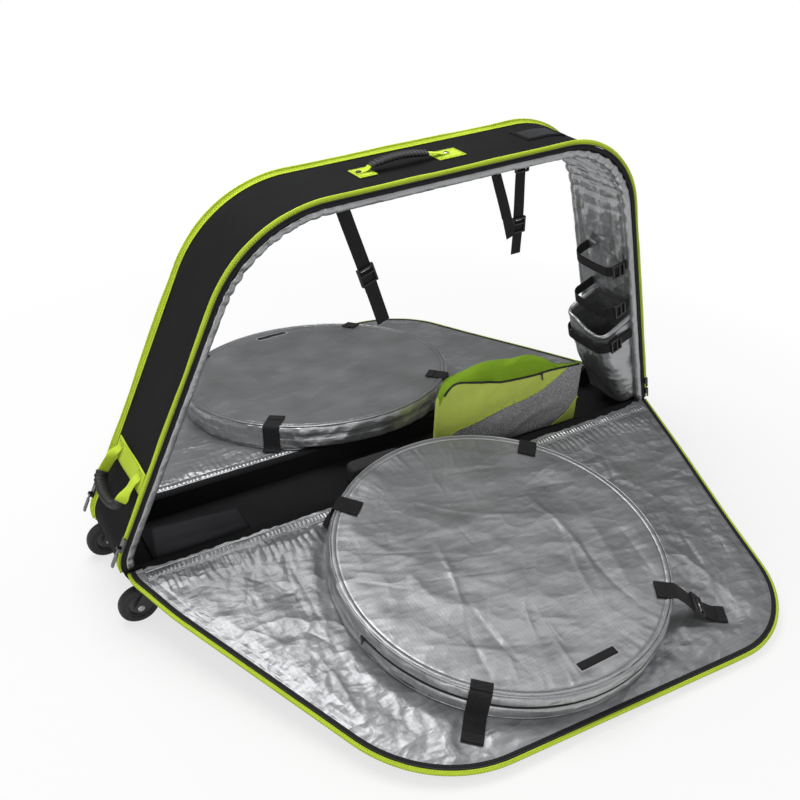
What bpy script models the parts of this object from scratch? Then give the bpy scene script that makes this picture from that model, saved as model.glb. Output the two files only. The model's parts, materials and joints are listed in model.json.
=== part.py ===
"""Soft bike travel case, standing open with both side panels folded down.

The case is a black fabric ring (the gusset) on a stiff base pan. Two zipped side
panels hinge on the long edges of the base. Each panel carries a padded round bag
for one wheel. Two transport wheels sit under the low end and a skid under the
high end. Sizes are in metres, +Z is up and +X runs from the low end to the high end.
"""

import math

import bmesh
import bpy
from mathutils import Vector

# Driving dimensions of the case
BASE_LENGTH = 1.38
HINGE_HEIGHT = 0.115
HALF_WIDTH = 0.095
BASE_DEPTH = 0.062
LOW_TOP_X, LOW_TOP_V = 0.304, 0.655
HIGH_TOP_X, HIGH_TOP_V = 1.171, 0.708
LOW_FOOT_RADIUS = 0.075
LOW_TOP_RADIUS = 0.267
HIGH_TOP_RADIUS = 0.208
HIGH_FOOT_RADIUS = 0.050
GAP = 0.0003

# Layers of the gusset wall, as depths in from its outer face
SHELL_THICKNESS = 0.003
FOAM_START, FOAM_END = 0.0035, 0.0125
LINING_START, LINING_END = 0.013, 0.015
ZIP_TAPE_INNER = 0.022
TRIM_PROUD = 0.004
TRIM_WIDTH = 0.016
ZIP_TAPE_THICKNESS = 0.0015

# Side panels, measured from the hinge line outward (v) and up from the zip plane (n)
HINGE_GAP = 0.002
PANEL_START = 0.005
PANEL_THICKNESS = 0.018
PANEL_SKIN = 0.003
PANEL_LINING_TOP = -0.0020
PANEL_LINING_BOTTOM = -0.0040
PANEL_REACH = 0.7075
FLOOR_CLEARANCE = 0.0006

# Round wheel bags that lie on the panels
BAG_U, BAG_V = 0.681, 0.305
BAG_RADIUS = 0.345
BAG_TOP = 0.060
BAG_BOTTOM = -0.0017
BAG_OVERHANG_BOTTOM = 0.009
BAG_OVERHANG_LIMIT = 0.012
STRAP_WIDTH = 0.040
WEB_THICKNESS = 0.0015

# Transport wheels
WHEEL_RADIUS = 0.040
WHEEL_X = 0.032
WHEEL_Y = 0.111
WHEEL_WIDTH = 0.024
AXLE_RADIUS = 0.004

ARC_STEPS = 10
ROUND_STEPS = 32
BAG_STEPS = 56

BLACK = (0.012, 0.012, 0.013)
SOFT_BLACK = (0.020, 0.020, 0.022)
GREY = (0.060, 0.060, 0.065)
LIME = (0.46, 0.62, 0.035)
SILVER = (0.36, 0.37, 0.38)
FOAM = (0.10, 0.10, 0.11)
CHROME = (0.62, 0.62, 0.62)
CLEAR = (0.10, 0.11, 0.12)

PANEL_SLOPE = math.asin(
    (HINGE_HEIGHT - FLOOR_CLEARANCE - PANEL_THICKNESS) / PANEL_REACH)
MATERIALS = {}


def clear_scene():
    for old in list(bpy.data.objects):
        bpy.data.objects.remove(old)


def material(name, colour, roughness, metallic=0.0):
    if name not in MATERIALS:
        made = bpy.data.materials.new(name)
        made.use_nodes = True
        shader = made.node_tree.nodes["Principled BSDF"]
        shader.inputs["Base Color"].default_value = (*colour, 1.0)
        shader.inputs["Roughness"].default_value = roughness
        shader.inputs["Metallic"].default_value = metallic
        MATERIALS[name] = made
    return MATERIALS[name]


def shell_fabric():
    return material("shell_fabric", BLACK, 0.85)


def lime_fabric():
    return material("lime_fabric", LIME, 0.7)


def silver_fabric():
    return material("silver_fabric", SILVER, 0.45, 0.35)


def closed_foam():
    return material("closed_foam", FOAM, 0.95)


def zip_tape():
    return material("zip_tape", SOFT_BLACK, 0.8)


def black_webbing():
    return material("black_webbing", SOFT_BLACK, 0.75)


def black_plastic():
    return material("black_plastic", SOFT_BLACK, 0.45)


def grey_plastic():
    return material("grey_plastic", GREY, 0.5)


def tyre_rubber():
    return material("tyre_rubber", SOFT_BLACK, 0.7)


def chrome_metal():
    return material("chrome_metal", CHROME, 0.2, 1.0)


def clear_window():
    return material("clear_window", CLEAR, 0.15)


# Mesh helpers

def link_mesh(name, bm, finish, origin=(0, 0, 0), smooth=False):
    """Makes a named object from a bmesh, with its origin at the given point."""
    bmesh.ops.recalc_face_normals(bm, faces=bm.faces[:])
    origin = Vector(origin)
    bmesh.ops.translate(bm, verts=bm.verts[:], vec=-origin)
    mesh = bpy.data.meshes.new(name)
    bm.to_mesh(mesh)
    bm.free()
    if smooth:
        mesh.shade_smooth()
        mesh.set_sharp_from_angle(angle=math.radians(35))
    mesh.materials.append(finish)
    made = bpy.data.objects.new(name, mesh)
    made.location = origin
    bpy.context.scene.collection.objects.link(made)
    return made


def solid(name, loops, finish, ring=False, origin=(0, 0, 0), smooth=False):
    """Joins loops of equal length by quads. Ends are capped unless the loops form a ring."""
    bm = bmesh.new()
    rows = [[bm.verts.new(point) for point in loop] for loop in loops]
    pairs = list(zip(rows, rows[1:]))
    if ring:
        pairs.append((rows[-1], rows[0]))
    else:
        bm.faces.new(rows[0])
        bm.faces.new(rows[-1])
    for row, following in pairs:
        for i in range(len(row)):
            j = (i + 1) % len(row)
            bm.faces.new((row[i], row[j], following[j], following[i]))
    return link_mesh(name, bm, finish, origin, smooth)


def as_cutter(tool):
    tool.hide_render = True
    tool.display_type = "WIRE"


def combine(target, tool, operation):
    """Leaves an exact Boolean on the target and hides the tool."""
    change = target.modifiers.new(operation.lower(), "BOOLEAN")
    change.operation = operation
    change.solver = "EXACT"
    change.object = tool
    as_cutter(tool)
    return target


def circle(centre, first, second, radius, steps):
    """Points of a circle in the plane of two unit vectors."""
    points = []
    for i in range(steps):
        angle = 2 * math.pi * i / steps
        points.append(centre + radius * (math.cos(angle) * first + math.sin(angle) * second))
    return points


def turned(name, centre, axis, profile, finish, steps=ROUND_STEPS, ring=False, smooth=True):
    """Turns (radius, distance along the axis) pairs about an axis."""
    centre = Vector(centre)
    axis = Vector(axis).normalized()
    first = axis.orthogonal().normalized()
    second = axis.cross(first)
    loops = [circle(centre + axis * along, first, second, radius, steps)
             for radius, along in profile]
    return solid(name, loops, finish, ring, centre, smooth)


def block(name, low, high, finish):
    """A box between two corners."""
    loops = []
    for z in (low[2], high[2]):
        loops.append([Vector((low[0], low[1], z)), Vector((high[0], low[1], z)),
                      Vector((high[0], high[1], z)), Vector((low[0], high[1], z))])
    return solid(name, loops, finish)


def prism(name, outline, y_start, y_end, finish):
    """An outline of (x, z) pairs, extruded along Y."""
    loops = [[Vector((x, y, z)) for x, z in outline] for y in (y_start, y_end)]
    return solid(name, loops, finish)


def tube(name, path, radius, finish, steps=12, origin=(0, 0, 0)):
    """A round bar through the points of a path, with filled ends."""
    loops = []
    side = Vector((0, 1, 0))
    for i, point in enumerate(path):
        ahead = path[min(i + 1, len(path) - 1)]
        behind = path[max(i - 1, 0)]
        along = (ahead - behind).normalized()
        side = (side - along * side.dot(along))
        if side.length < 0.1:
            side = along.orthogonal()
        side.normalize()
        thickness = radius(i / (len(path) - 1)) if callable(radius) else radius
        loops.append(circle(point, side, along.cross(side), thickness, steps))
    return solid(name, loops, finish, False, origin, True)


# Outline of the case, in x and v (height above the hinge line)

def wall_slope(x_foot, x_top, v_top):
    return (x_top - x_foot) / v_top


LOW_SLOPE = wall_slope(0.0, LOW_TOP_X, LOW_TOP_V)
HIGH_SLOPE = wall_slope(BASE_LENGTH, HIGH_TOP_X, HIGH_TOP_V)
LOW_FOOT = Vector((-LOW_SLOPE * BASE_DEPTH, -BASE_DEPTH))
HIGH_FOOT = Vector((BASE_LENGTH - HIGH_SLOPE * BASE_DEPTH, -BASE_DEPTH))
LOW_TOP = Vector((LOW_TOP_X, LOW_TOP_V))
HIGH_TOP = Vector((HIGH_TOP_X, HIGH_TOP_V))


def outward(start, end):
    """Unit normal on the left of a run that goes round the case clockwise."""
    run = (end - start).normalized()
    return Vector((-run.y, run.x))


LOW_NORMAL = outward(LOW_FOOT, LOW_TOP)
TOP_NORMAL = outward(LOW_TOP, HIGH_TOP)
HIGH_NORMAL = outward(HIGH_TOP, HIGH_FOOT)
BASE_NORMAL = Vector((0.0, -1.0))


def corner_centre(corner, before, after, radius):
    """Centre of the arc that rounds a corner between two walls with outward normals."""
    bisector = (before + after) / (1.0 + before.dot(after))
    return corner - bisector * radius


LOW_FOOT_CENTRE = corner_centre(LOW_FOOT, BASE_NORMAL, LOW_NORMAL, LOW_FOOT_RADIUS)
LOW_TOP_CENTRE = corner_centre(LOW_TOP, LOW_NORMAL, TOP_NORMAL, LOW_TOP_RADIUS)
HIGH_TOP_CENTRE = corner_centre(HIGH_TOP, TOP_NORMAL, HIGH_NORMAL, HIGH_TOP_RADIUS)
HIGH_FOOT_CENTRE = corner_centre(HIGH_FOOT, HIGH_NORMAL, BASE_NORMAL, HIGH_FOOT_RADIUS)
SIDE_JOIN = 0.060


def angle_of(normal):
    return math.atan2(normal.y, normal.x)


def arc_between(centre, radius, start, end, steps=ARC_STEPS):
    """Arc points from one direction angle to another."""
    points = []
    for i in range(steps + 1):
        angle = start + (end - start) * i / steps
        points.append(centre + Vector((math.cos(angle), math.sin(angle))) * radius)
    return points


def wall_x(v, inset, low_side):
    """x of the low or high end wall at a height, for a depth in from the outer face."""
    centre = LOW_FOOT_CENTRE if low_side else HIGH_FOOT_CENTRE
    radius = (LOW_FOOT_RADIUS if low_side else HIGH_FOOT_RADIUS) - inset
    normal = LOW_NORMAL if low_side else HIGH_NORMAL
    foot = LOW_FOOT if low_side else HIGH_FOOT
    if v < centre.y + radius * normal.y:
        across = math.sqrt(radius ** 2 - (v - centre.y) ** 2)
        return centre.x - across if low_side else centre.x + across
    on_wall = foot - normal * inset
    return on_wall.x - (v - on_wall.y) * normal.y / normal.x


def arch(inset, v_foot):
    """The open outline from the low foot over the top to the high foot."""
    points = []
    for i in range(5):
        v = v_foot + (SIDE_JOIN - v_foot) * i / 4
        points.append(Vector((wall_x(v, inset, True), v)))
    points += arc_between(LOW_TOP_CENTRE, LOW_TOP_RADIUS - inset,
                          angle_of(LOW_NORMAL), angle_of(TOP_NORMAL))
    points += arc_between(HIGH_TOP_CENTRE, HIGH_TOP_RADIUS - inset,
                          angle_of(TOP_NORMAL), angle_of(HIGH_NORMAL))
    for i in range(4):
        v = SIDE_JOIN + (v_foot - SIDE_JOIN) * i / 3
        points.append(Vector((wall_x(v, inset, False), v)))
    return points


def pan_outline(inset, v_top):
    """The open outline from the high side down round the base to the low side."""
    low_radius = LOW_FOOT_RADIUS - inset
    high_radius = HIGH_FOOT_RADIUS - inset
    high_start = math.asin((v_top - HIGH_FOOT_CENTRE.y) / high_radius)
    low_end = math.pi - math.asin((v_top - LOW_FOOT_CENTRE.y) / low_radius)
    points = arc_between(HIGH_FOOT_CENTRE, high_radius, high_start, -math.pi / 2, 6)
    points += arc_between(LOW_FOOT_CENTRE, low_radius, -math.pi / 2, low_end - 2 * math.pi, 8)
    return points


def ring_point(point, y):
    return Vector((point.x, y, HINGE_HEIGHT + point.y))


def panel_point(side, u, v, n):
    """side is -1 for the front panel and +1 for the back panel, both folded down."""
    out = HALF_WIDTH + HINGE_GAP + v * math.cos(PANEL_SLOPE) + n * math.sin(PANEL_SLOPE)
    up = HINGE_HEIGHT - v * math.sin(PANEL_SLOPE) + n * math.cos(PANEL_SLOPE)
    return Vector((u, side * out, up))


def side_name(side):
    return "front" if side < 0 else "back"


def arch_band(name, inset_a, inset_b, y_a, y_b, finish):
    """A band of the gusset: a rectangular section carried round the arch."""
    outer = arch(inset_a, 0.0)
    inner = arch(inset_b, 0.0)
    loops = [[ring_point(p, y_a), ring_point(q, y_a), ring_point(q, y_b), ring_point(p, y_b)]
             for p, q in zip(outer, inner)]
    return solid(name, loops, finish)


def panel_band(name, side, inset_a, inset_b, n_a, n_b, finish, origin):
    """A band round the zipped edge of a side panel."""
    outer = arch(inset_a, PANEL_START)
    inner = arch(inset_b, PANEL_START)
    loops = []
    for p, q in zip(outer, inner):
        loops.append([panel_point(side, p.x, p.y, n_a), panel_point(side, q.x, q.y, n_a),
                      panel_point(side, q.x, q.y, n_b), panel_point(side, p.x, p.y, n_b)])
    return solid(name, loops, finish, origin=origin)


def panel_loop(side, inset, n, v_foot):
    return [panel_point(side, p.x, p.y, n) for p in arch(inset, v_foot)]


# The ring of the case body

def make_gusset():
    arch_band("gusset_shell", 0.0, SHELL_THICKNESS, -HALF_WIDTH, HALF_WIDTH, shell_fabric())
    arch_band("gusset_foam", FOAM_START, FOAM_END, GAP - HALF_WIDTH, HALF_WIDTH - GAP,
              closed_foam())
    arch_band("gusset_lining", LINING_START, LINING_END, GAP - HALF_WIDTH, HALF_WIDTH - GAP,
              silver_fabric())
    for side in (-1, 1):
        tape_inner = side * (HALF_WIDTH + GAP)
        tape_outer = side * (HALF_WIDTH + GAP + ZIP_TAPE_THICKNESS)
        arch_band(side_name(side) + "_gusset_zip", 0.001, ZIP_TAPE_INNER,
                  tape_inner, tape_outer, zip_tape())
        arch_band(side_name(side) + "_gusset_trim", -TRIM_PROUD, -GAP,
                  side * (HALF_WIDTH - GAP), side * (HALF_WIDTH - GAP - TRIM_WIDTH),
                  lime_fabric())


PAN_WALL = 0.005
BOARD_START, BOARD_END = 0.092, 1.328
BOARD_HALF_WIDTH = 0.0885
BOARD_BOTTOM = HINGE_HEIGHT - BASE_DEPTH + PAN_WALL + GAP
BOARD_TOP = BOARD_BOTTOM + 0.0077
BLOCK_START, BLOCK_END = 0.56, 0.70
BLOCK_HALF_WIDTH = 0.021
FLAP_FRONT, FLAP_BACK = -0.080, -0.058
FLAP_OUTLINE = ((0.088, BOARD_TOP + GAP), (0.300, BOARD_TOP + GAP), (0.262, 0.160), (0.085, 0.176))


def make_base():
    outer = pan_outline(0.0, -GAP)
    inner = pan_outline(PAN_WALL, -GAP)
    bm = bmesh.new()
    rows = []
    for outline, half in ((outer, HALF_WIDTH), (inner, HALF_WIDTH - PAN_WALL)):
        for y in (-half, half):
            rows.append([bm.verts.new(ring_point(p, y)) for p in outline])
    front_out, back_out, front_in, back_in = rows
    last = len(outer) - 1
    for row in rows:
        bm.faces.new(row)
    for first, second in ((front_out, back_out), (front_in, back_in)):
        for i in range(last):
            bm.faces.new((first[i], first[i + 1], second[i + 1], second[i]))
    rim_out = (front_out[0], front_out[last], back_out[last], back_out[0])
    rim_in = (front_in[0], front_in[last], back_in[last], back_in[0])
    for i in range(4):
        j = (i + 1) % 4
        bm.faces.new((rim_out[i], rim_out[j], rim_in[j], rim_in[i]))
    link_mesh("base_pan", bm, shell_fabric())
    block("base_board", (BOARD_START, -BOARD_HALF_WIDTH, BOARD_BOTTOM),
          (BOARD_END, BOARD_HALF_WIDTH, BOARD_TOP), black_plastic())
    block("frame_support_block", (BLOCK_START, -BLOCK_HALF_WIDTH, BOARD_TOP + GAP),
          (BLOCK_END, BLOCK_HALF_WIDTH, HINGE_HEIGHT), closed_foam())
    prism("padded_side_flap", FLAP_OUTLINE, FLAP_FRONT, FLAP_BACK, shell_fabric())


SKID_START, SKID_END = 1.19, 1.29
SKID_TOP = HINGE_HEIGHT - BASE_DEPTH - GAP
SKID_REACH = 0.085
SKID_FOOT_WIDTH = 0.030
SKID_FLARE = 0.012
SKID_DECK = 0.018


def make_rear_skid():
    """A bridge-shaped foot with a leg at each side, as high as the transport wheels."""
    leg_inside = SKID_REACH - SKID_FOOT_WIDTH
    under = SKID_TOP - SKID_DECK
    half = [(leg_inside - SKID_FLARE, under), (leg_inside, 0.0), (SKID_REACH, 0.0),
            (SKID_REACH, SKID_TOP)]
    outline = half + [(-y, z) for y, z in reversed(half)]
    loops = [[Vector((x, y, z)) for y, z in outline] for x in (SKID_START, SKID_END)]
    solid("rear_skid", loops, black_plastic())


HOUSING_START = HALF_WIDTH + 0.0005
HOUSING_WIDTH = 0.032
HOUSING_NOSE_RADIUS = 0.013
HOUSING_BODY = ((0.108, 0.050), (0.114, 0.058), (0.114, 0.084), (0.109, 0.089), (0.052, 0.089))
SLOT_CLEARANCE = 0.0035
SLOT_HALF_WIDTH = 0.0127
AXLE_HEAD_RADIUS = 0.0068
AXLE_STEPS = 20
HUB_RADIUS = 0.0258
TYRE_BORE = 0.0262


def make_wheel_housing(name, side, centre, axis):
    nose = []
    for degrees in range(125, 306, 30):
        angle = math.radians(degrees)
        nose.append((WHEEL_X + HOUSING_NOSE_RADIUS * math.cos(angle),
                     WHEEL_RADIUS + HOUSING_NOSE_RADIUS * math.sin(angle)))
    housing = prism(name + "_wheel_housing", nose + list(HOUSING_BODY), side * HOUSING_START,
                    side * (HOUSING_START + HOUSING_WIDTH), black_plastic())
    slot_radius = WHEEL_RADIUS + SLOT_CLEARANCE
    slot = turned(name + "_wheel_slot", centre, axis,
                  [(slot_radius, -SLOT_HALF_WIDTH), (slot_radius, SLOT_HALF_WIDTH)],
                  black_plastic())
    bore_radius = AXLE_RADIUS + GAP
    bore = turned(name + "_wheel_bore", centre, axis,
                  [(bore_radius, -HOUSING_WIDTH), (bore_radius, HOUSING_WIDTH)],
                  black_plastic(), AXLE_STEPS)
    combine(housing, slot, "DIFFERENCE")
    combine(housing, bore, "DIFFERENCE")


def make_wheel_axle(name, centre, axis):
    inner_end = HOUSING_START - WHEEL_Y + GAP
    head = HOUSING_START + HOUSING_WIDTH - WHEEL_Y + GAP
    turned(name + "_wheel_axle", centre, axis,
           [(AXLE_RADIUS, inner_end), (AXLE_RADIUS, head), (AXLE_HEAD_RADIUS, head),
            (AXLE_HEAD_RADIUS, head + 0.0012), (0.0045, head + 0.0022)],
           chrome_metal(), AXLE_STEPS)


def mirrored_profile(half):
    """Repeats (radius, distance) pairs of one half of a wheel on its other half."""
    return half + [(radius, -along) for radius, along in reversed(half)]


def make_wheels():
    for side in (-1, 1):
        name = side_name(side)
        centre = Vector((WHEEL_X, side * WHEEL_Y, WHEEL_RADIUS))
        axis = (0, side, 0)
        make_wheel_housing(name, side, centre, axis)
        make_wheel_axle(name, centre, axis)
        hub = [(AXLE_RADIUS + 0.0004, -0.0115), (0.0090, -0.0115), (0.0100, -0.0070),
               (0.0205, -0.0055), (0.0235, -0.0100), (HUB_RADIUS, -0.0100)]
        turned(name + "_wheel_hub", centre, axis, mirrored_profile(hub), grey_plastic(), ring=True)
        half = WHEEL_WIDTH / 2 - GAP
        tyre = [(TYRE_BORE, -half), (0.0360, -half), (0.0390, -half * 0.7),
                (WHEEL_RADIUS, -0.003)]
        turned(name + "_wheel_tyre", centre, axis, mirrored_profile(tyre), tyre_rubber(), ring=True)


# Handles and the address window on the ring

def top_point(x, out, y):
    """A point above the flat top of the gusset: x along it, out from its outer face."""
    v = LOW_TOP_V + (x - LOW_TOP_X) * (HIGH_TOP_V - LOW_TOP_V) / (HIGH_TOP_X - LOW_TOP_X)
    return Vector((x + TOP_NORMAL.x * out, y, HINGE_HEIGHT + v + TOP_NORMAL.y * out))


def top_plate(name, x_a, x_b, y_a, y_b, out_a, out_b, finish):
    loops = []
    for out in (out_a, out_b):
        loops.append([top_point(x_a, out, y_a), top_point(x_b, out, y_a),
                      top_point(x_b, out, y_b), top_point(x_a, out, y_b)])
    return solid(name, loops, finish)


HANDLE_START, HANDLE_END = 0.594, 0.755
HANDLE_LIFT = 0.012
HANDLE_RISE = 0.028
HANDLE_FOOT = 0.006
HANDLE_STEPS = 16
CHEEK = 0.004
TAB_HALF = 0.010
PATCH_HALF_WIDTH = 0.024
PATCH_TOP = GAP + 0.0025


def make_top_handle():
    for name, x_a, x_b, cheek_x in (
            ("top_handle_patch_left", 0.566, 0.604, HANDLE_START - GAP - CHEEK),
            ("top_handle_patch_right", 0.744, 0.806, HANDLE_END + GAP)):
        patch = top_plate(name, x_a, x_b, -PATCH_HALF_WIDTH, PATCH_HALF_WIDTH, GAP, PATCH_TOP,
                          lime_fabric())
        tab = top_plate(name + "_tab", cheek_x, cheek_x + CHEEK, -TAB_HALF, TAB_HALF,
                        GAP + 0.001, HANDLE_LIFT + 0.007, lime_fabric())
        combine(patch, tab, "UNION")
    start = top_point(HANDLE_START, HANDLE_LIFT, 0)
    end = top_point(HANDLE_END, HANDLE_LIFT, 0)
    along = (end - start).normalized()
    lift = Vector((TOP_NORMAL.x, 0, TOP_NORMAL.y))
    bowed = (end - start).length - 2 * HANDLE_FOOT
    path = [start]
    for i in range(HANDLE_STEPS + 1):
        share = i / HANDLE_STEPS
        rise = HANDLE_RISE * math.sin(math.pi * share) ** 0.6
        path.append(start + along * (HANDLE_FOOT + bowed * share) + lift * rise)
    path.append(end)

    def thickness(share):
        return 0.0055 + 0.0035 * min(1.0, 6 * min(share, 1 - share))

    tube("top_handle_grip", path, thickness, black_plastic(), origin=(start + end) / 2)


WINDOW_X = (0.960, 1.060)
WINDOW_Y = (-0.022, 0.044)
WINDOW_EDGE = 0.008


def window_plate(name, inset, out_a, out_b, finish):
    return top_plate(name, WINDOW_X[0] + inset, WINDOW_X[1] - inset, WINDOW_Y[0] + inset,
                     WINDOW_Y[1] - inset, out_a, out_b, finish)


def make_id_window():
    frame = window_plate("id_window_frame", 0.0, GAP, 0.0030, black_plastic())
    hole = window_plate("id_window_hole", WINDOW_EDGE, -0.002, 0.006, black_plastic())
    combine(frame, hole, "DIFFERENCE")
    window_plate("id_window_pane", WINDOW_EDGE + GAP, GAP, 0.0018, clear_window())


def low_wall_point(v, out, y):
    """A point off the straight low end wall."""
    foot = LOW_FOOT + LOW_NORMAL * out
    run = Vector((-LOW_NORMAL.y, LOW_NORMAL.x)) * -1
    distance = (v - LOW_FOOT.y) / run.y
    point = foot + run * distance
    return ring_point(point, y)


def low_wall_plate(name, v_a, v_b, y_a, y_b, out_a, out_b, finish):
    loops = []
    for out in (out_a, out_b):
        loops.append([low_wall_point(v_a, out, y_a), low_wall_point(v_b, out, y_a),
                      low_wall_point(v_b, out, y_b), low_wall_point(v_a, out, y_b)])
    return solid(name, loops, finish)


END_BAND_LOW, END_BAND_HIGH = 0.152, 0.192
END_PIVOT_V = 0.166
END_PIVOT_OUT = 0.0105
END_HANDLE_HALF = 0.054
END_HANDLE_REACH, END_HANDLE_DROP = -0.046, -0.058
END_TAB_HALF = 0.006


def make_end_handle():
    reach = HALF_WIDTH - TRIM_WIDTH - 2 * GAP - 0.001
    band = low_wall_plate("end_handle_band", END_BAND_LOW, END_BAND_HIGH, -reach, reach,
                          GAP, 0.0025, lime_fabric())
    for side in (-1, 1):
        y_a = side * (END_HANDLE_HALF + GAP)
        y_b = side * (END_HANDLE_HALF + GAP + CHEEK)
        tab = low_wall_plate("end_handle_tab_" + side_name(side), END_PIVOT_V - END_TAB_HALF,
                             END_PIVOT_V + END_TAB_HALF, y_a, y_b, 0.001,
                             END_PIVOT_OUT + END_TAB_HALF, lime_fabric())
        combine(band, tab, "UNION")
    pivot = low_wall_point(END_PIVOT_V, END_PIVOT_OUT, 0)
    hang = Vector((END_HANDLE_REACH, 0, END_HANDLE_DROP))
    path = []
    for side in (-1, 1):
        across = Vector((0, side, 0))
        arm = [pivot + across * END_HANDLE_HALF, pivot + across * (END_HANDLE_HALF - 0.006)]
        for share in (0.25, 0.55, 0.85):
            arm.append(pivot + hang * share + across * (END_HANDLE_HALF - 0.010))
        arm.append(pivot + hang + across * (END_HANDLE_HALF - 0.022))
        path += arm if side < 0 else arm[::-1]

    def thickness(share):
        return 0.0045 + 0.0075 * max(0.0, min(1.0, 7 * min(share, 1 - share) - 2.0))

    smooth_path = []
    for a, b in zip(path, path[1:]):
        smooth_path += [a, (a + b) / 2]
    smooth_path.append(path[-1])
    tube("end_handle_grip", smooth_path, thickness, black_plastic(), origin=pivot)


# Inside fittings

def webbing(name, path, width, thickness, y_centre, buckle_at=None, buckle=(0.034, 0.046, 0.012)):
    """A flat strap through (x, z) points, with its broad face towards the front.

    A buckle is a wider and thicker stretch, centred on the share buckle_at of the run.
    """
    points = [Vector((x, z)) for x, z in path]
    sections = [(p, width / 2, thickness / 2) for p in points]
    if buckle_at is not None:
        start, end = points[0], points[-1]
        run = (end - start).normalized()
        middle = start + (end - start) * buckle_at
        half = buckle[1] / 2
        sections = [(start, width / 2, thickness / 2),
                    (middle - run * (half + 0.001), width / 2, thickness / 2),
                    (middle - run * half, buckle[0] / 2, buckle[2] / 2),
                    (middle + run * half, buckle[0] / 2, buckle[2] / 2),
                    (middle + run * (half + 0.001), width / 2, thickness / 2),
                    (end, width / 2, thickness / 2)]
    run = (sections[-1][0] - sections[0][0]).normalized()
    across = Vector((run.y, -run.x))
    loops = []
    for point, half_width, half_thickness in sections:
        corners = []
        for sign, y in ((-1, -1), (1, -1), (1, 1), (-1, 1)):
            edge = point + across * half_width * sign
            corners.append(Vector((edge.x, y_centre + y * half_thickness, edge.y)))
        loops.append(corners)
    return solid(name, loops, black_webbing())


def make_frame_straps():
    def under_top(x):
        return top_point(x, -LINING_END - 0.001, 0).z

    webbing("seat_post_strap", [(0.525, under_top(0.525) - 0.004), (0.640, 0.462)],
            0.030, 0.003, 0.0, 0.62)
    webbing("frame_strap_left", [(0.900, under_top(0.900) - 0.004), (0.957, 0.584)],
            0.024, 0.003, -0.011, 0.5, (0.026, 0.026, 0.007))
    webbing("frame_strap_right", [(0.972, under_top(0.972) - 0.004), (0.984, 0.548)],
            0.026, 0.003, 0.009, 0.72, (0.034, 0.044, 0.012))


HIGH_RUN = Vector((HIGH_NORMAL.y, -HIGH_NORMAL.x)) * -1


def high_wall_point(rise, depth, y):
    """A point off the inner side of the straight high end wall."""
    base = Vector((BASE_LENGTH, 0.0)) - HIGH_NORMAL * depth
    return ring_point(base + HIGH_RUN * rise, y)


POCKET_FRONT, POCKET_BACK = -0.085, 0.050
POCKET_LOW, POCKET_HIGH = 0.012, 0.192
POCKET_START = LINING_END + 0.0005
POCKET_END = POCKET_START + 0.055
POCKET_SLANT = 0.03
POCKET_WALL = 0.005
POCKET_MIDDLE = (POCKET_FRONT + POCKET_BACK) / 2
POCKET_HALF_SPAN = (POCKET_BACK - POCKET_FRONT) / 2
FORK_STRAP_HALF = 0.0125
FORK_STRAP_STAND_OFF = 0.060
FORK_STRAP_THICKNESS = 0.002
FORK_STRAP_STEPS = 12


def pocket_box(name, inset, high, slant):
    """A box on the high end wall, with its walls moved in and its top edge at a rise."""
    near = POCKET_START + inset
    far = POCKET_END - inset
    low = POCKET_LOW + inset
    loops = []
    for y in (POCKET_FRONT + inset, POCKET_BACK - inset):
        loops.append([high_wall_point(low, near, y), high_wall_point(low, far, y),
                      high_wall_point(high - slant, far, y), high_wall_point(high, near, y)])
    return solid(name, loops, silver_fabric())


def make_fork_pocket():
    pocket = pocket_box("fork_pocket", 0.0, POCKET_HIGH, POCKET_SLANT)
    hollow = pocket_box("fork_pocket_hollow", POCKET_WALL, POCKET_HIGH + 0.05, 0.0)
    combine(pocket, hollow, "DIFFERENCE")
    make_fork_strap("lower_fork_strap", 0.208)
    make_fork_strap("upper_fork_strap", 0.335)


def make_fork_strap(name, rise):
    """A webbing loop that stands off the high end wall, sewn down at both ends."""
    low = rise - FORK_STRAP_HALF
    high = rise + FORK_STRAP_HALF
    loops = []
    for i in range(FORK_STRAP_STEPS + 1):
        angle = math.pi * i / FORK_STRAP_STEPS
        y = POCKET_MIDDLE - POCKET_HALF_SPAN * math.cos(angle)
        depth = POCKET_START + FORK_STRAP_STAND_OFF * math.sin(angle) ** 0.8
        out_y = y - FORK_STRAP_THICKNESS * math.cos(angle)
        out_depth = depth + FORK_STRAP_THICKNESS * max(0.25, math.sin(angle))
        loops.append([high_wall_point(low, depth, y), high_wall_point(high, depth, y),
                      high_wall_point(high, out_depth, out_y),
                      high_wall_point(low, out_depth, out_y)])
    return solid(name, loops, black_webbing())


# Cross sections of the tool bag along x, as (x, height of the top, half width)
ACCESSORY_STATIONS = (
    (0.792, 0.225, 0.010), (0.812, 0.252, 0.017), (0.846, 0.272, 0.020), (0.880, 0.280, 0.030),
    (0.980, 0.284, 0.033), (1.090, 0.258, 0.033), (1.170, 0.228, 0.026), (1.204, 0.214, 0.010),
)
# One half of its rounded section, from the bottom up, as shares of half width and height
ACCESSORY_SECTION = ((0.92, 0.0), (1.0, 0.08), (1.0, 0.80), (0.75, 0.95), (0.3, 1.0))


def make_accessory_bag():
    """A low tool bag that stands on the base board between the folded wheel bags."""
    floor = BOARD_TOP + GAP
    section = [(-y, z) for y, z in ACCESSORY_SECTION] + list(reversed(ACCESSORY_SECTION))
    loops = []
    for x, top, half in ACCESSORY_STATIONS:
        loops.append([Vector((x, y * half, floor + z * (top - floor))) for y, z in section])
    solid("accessory_bag", loops, lime_fabric(), origin=(0.99, 0, floor), smooth=True)


# Folding side panels with their wheel bags

PANEL_TRIM_LOW, PANEL_TRIM_HIGH = -0.0150, -0.0022


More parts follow.
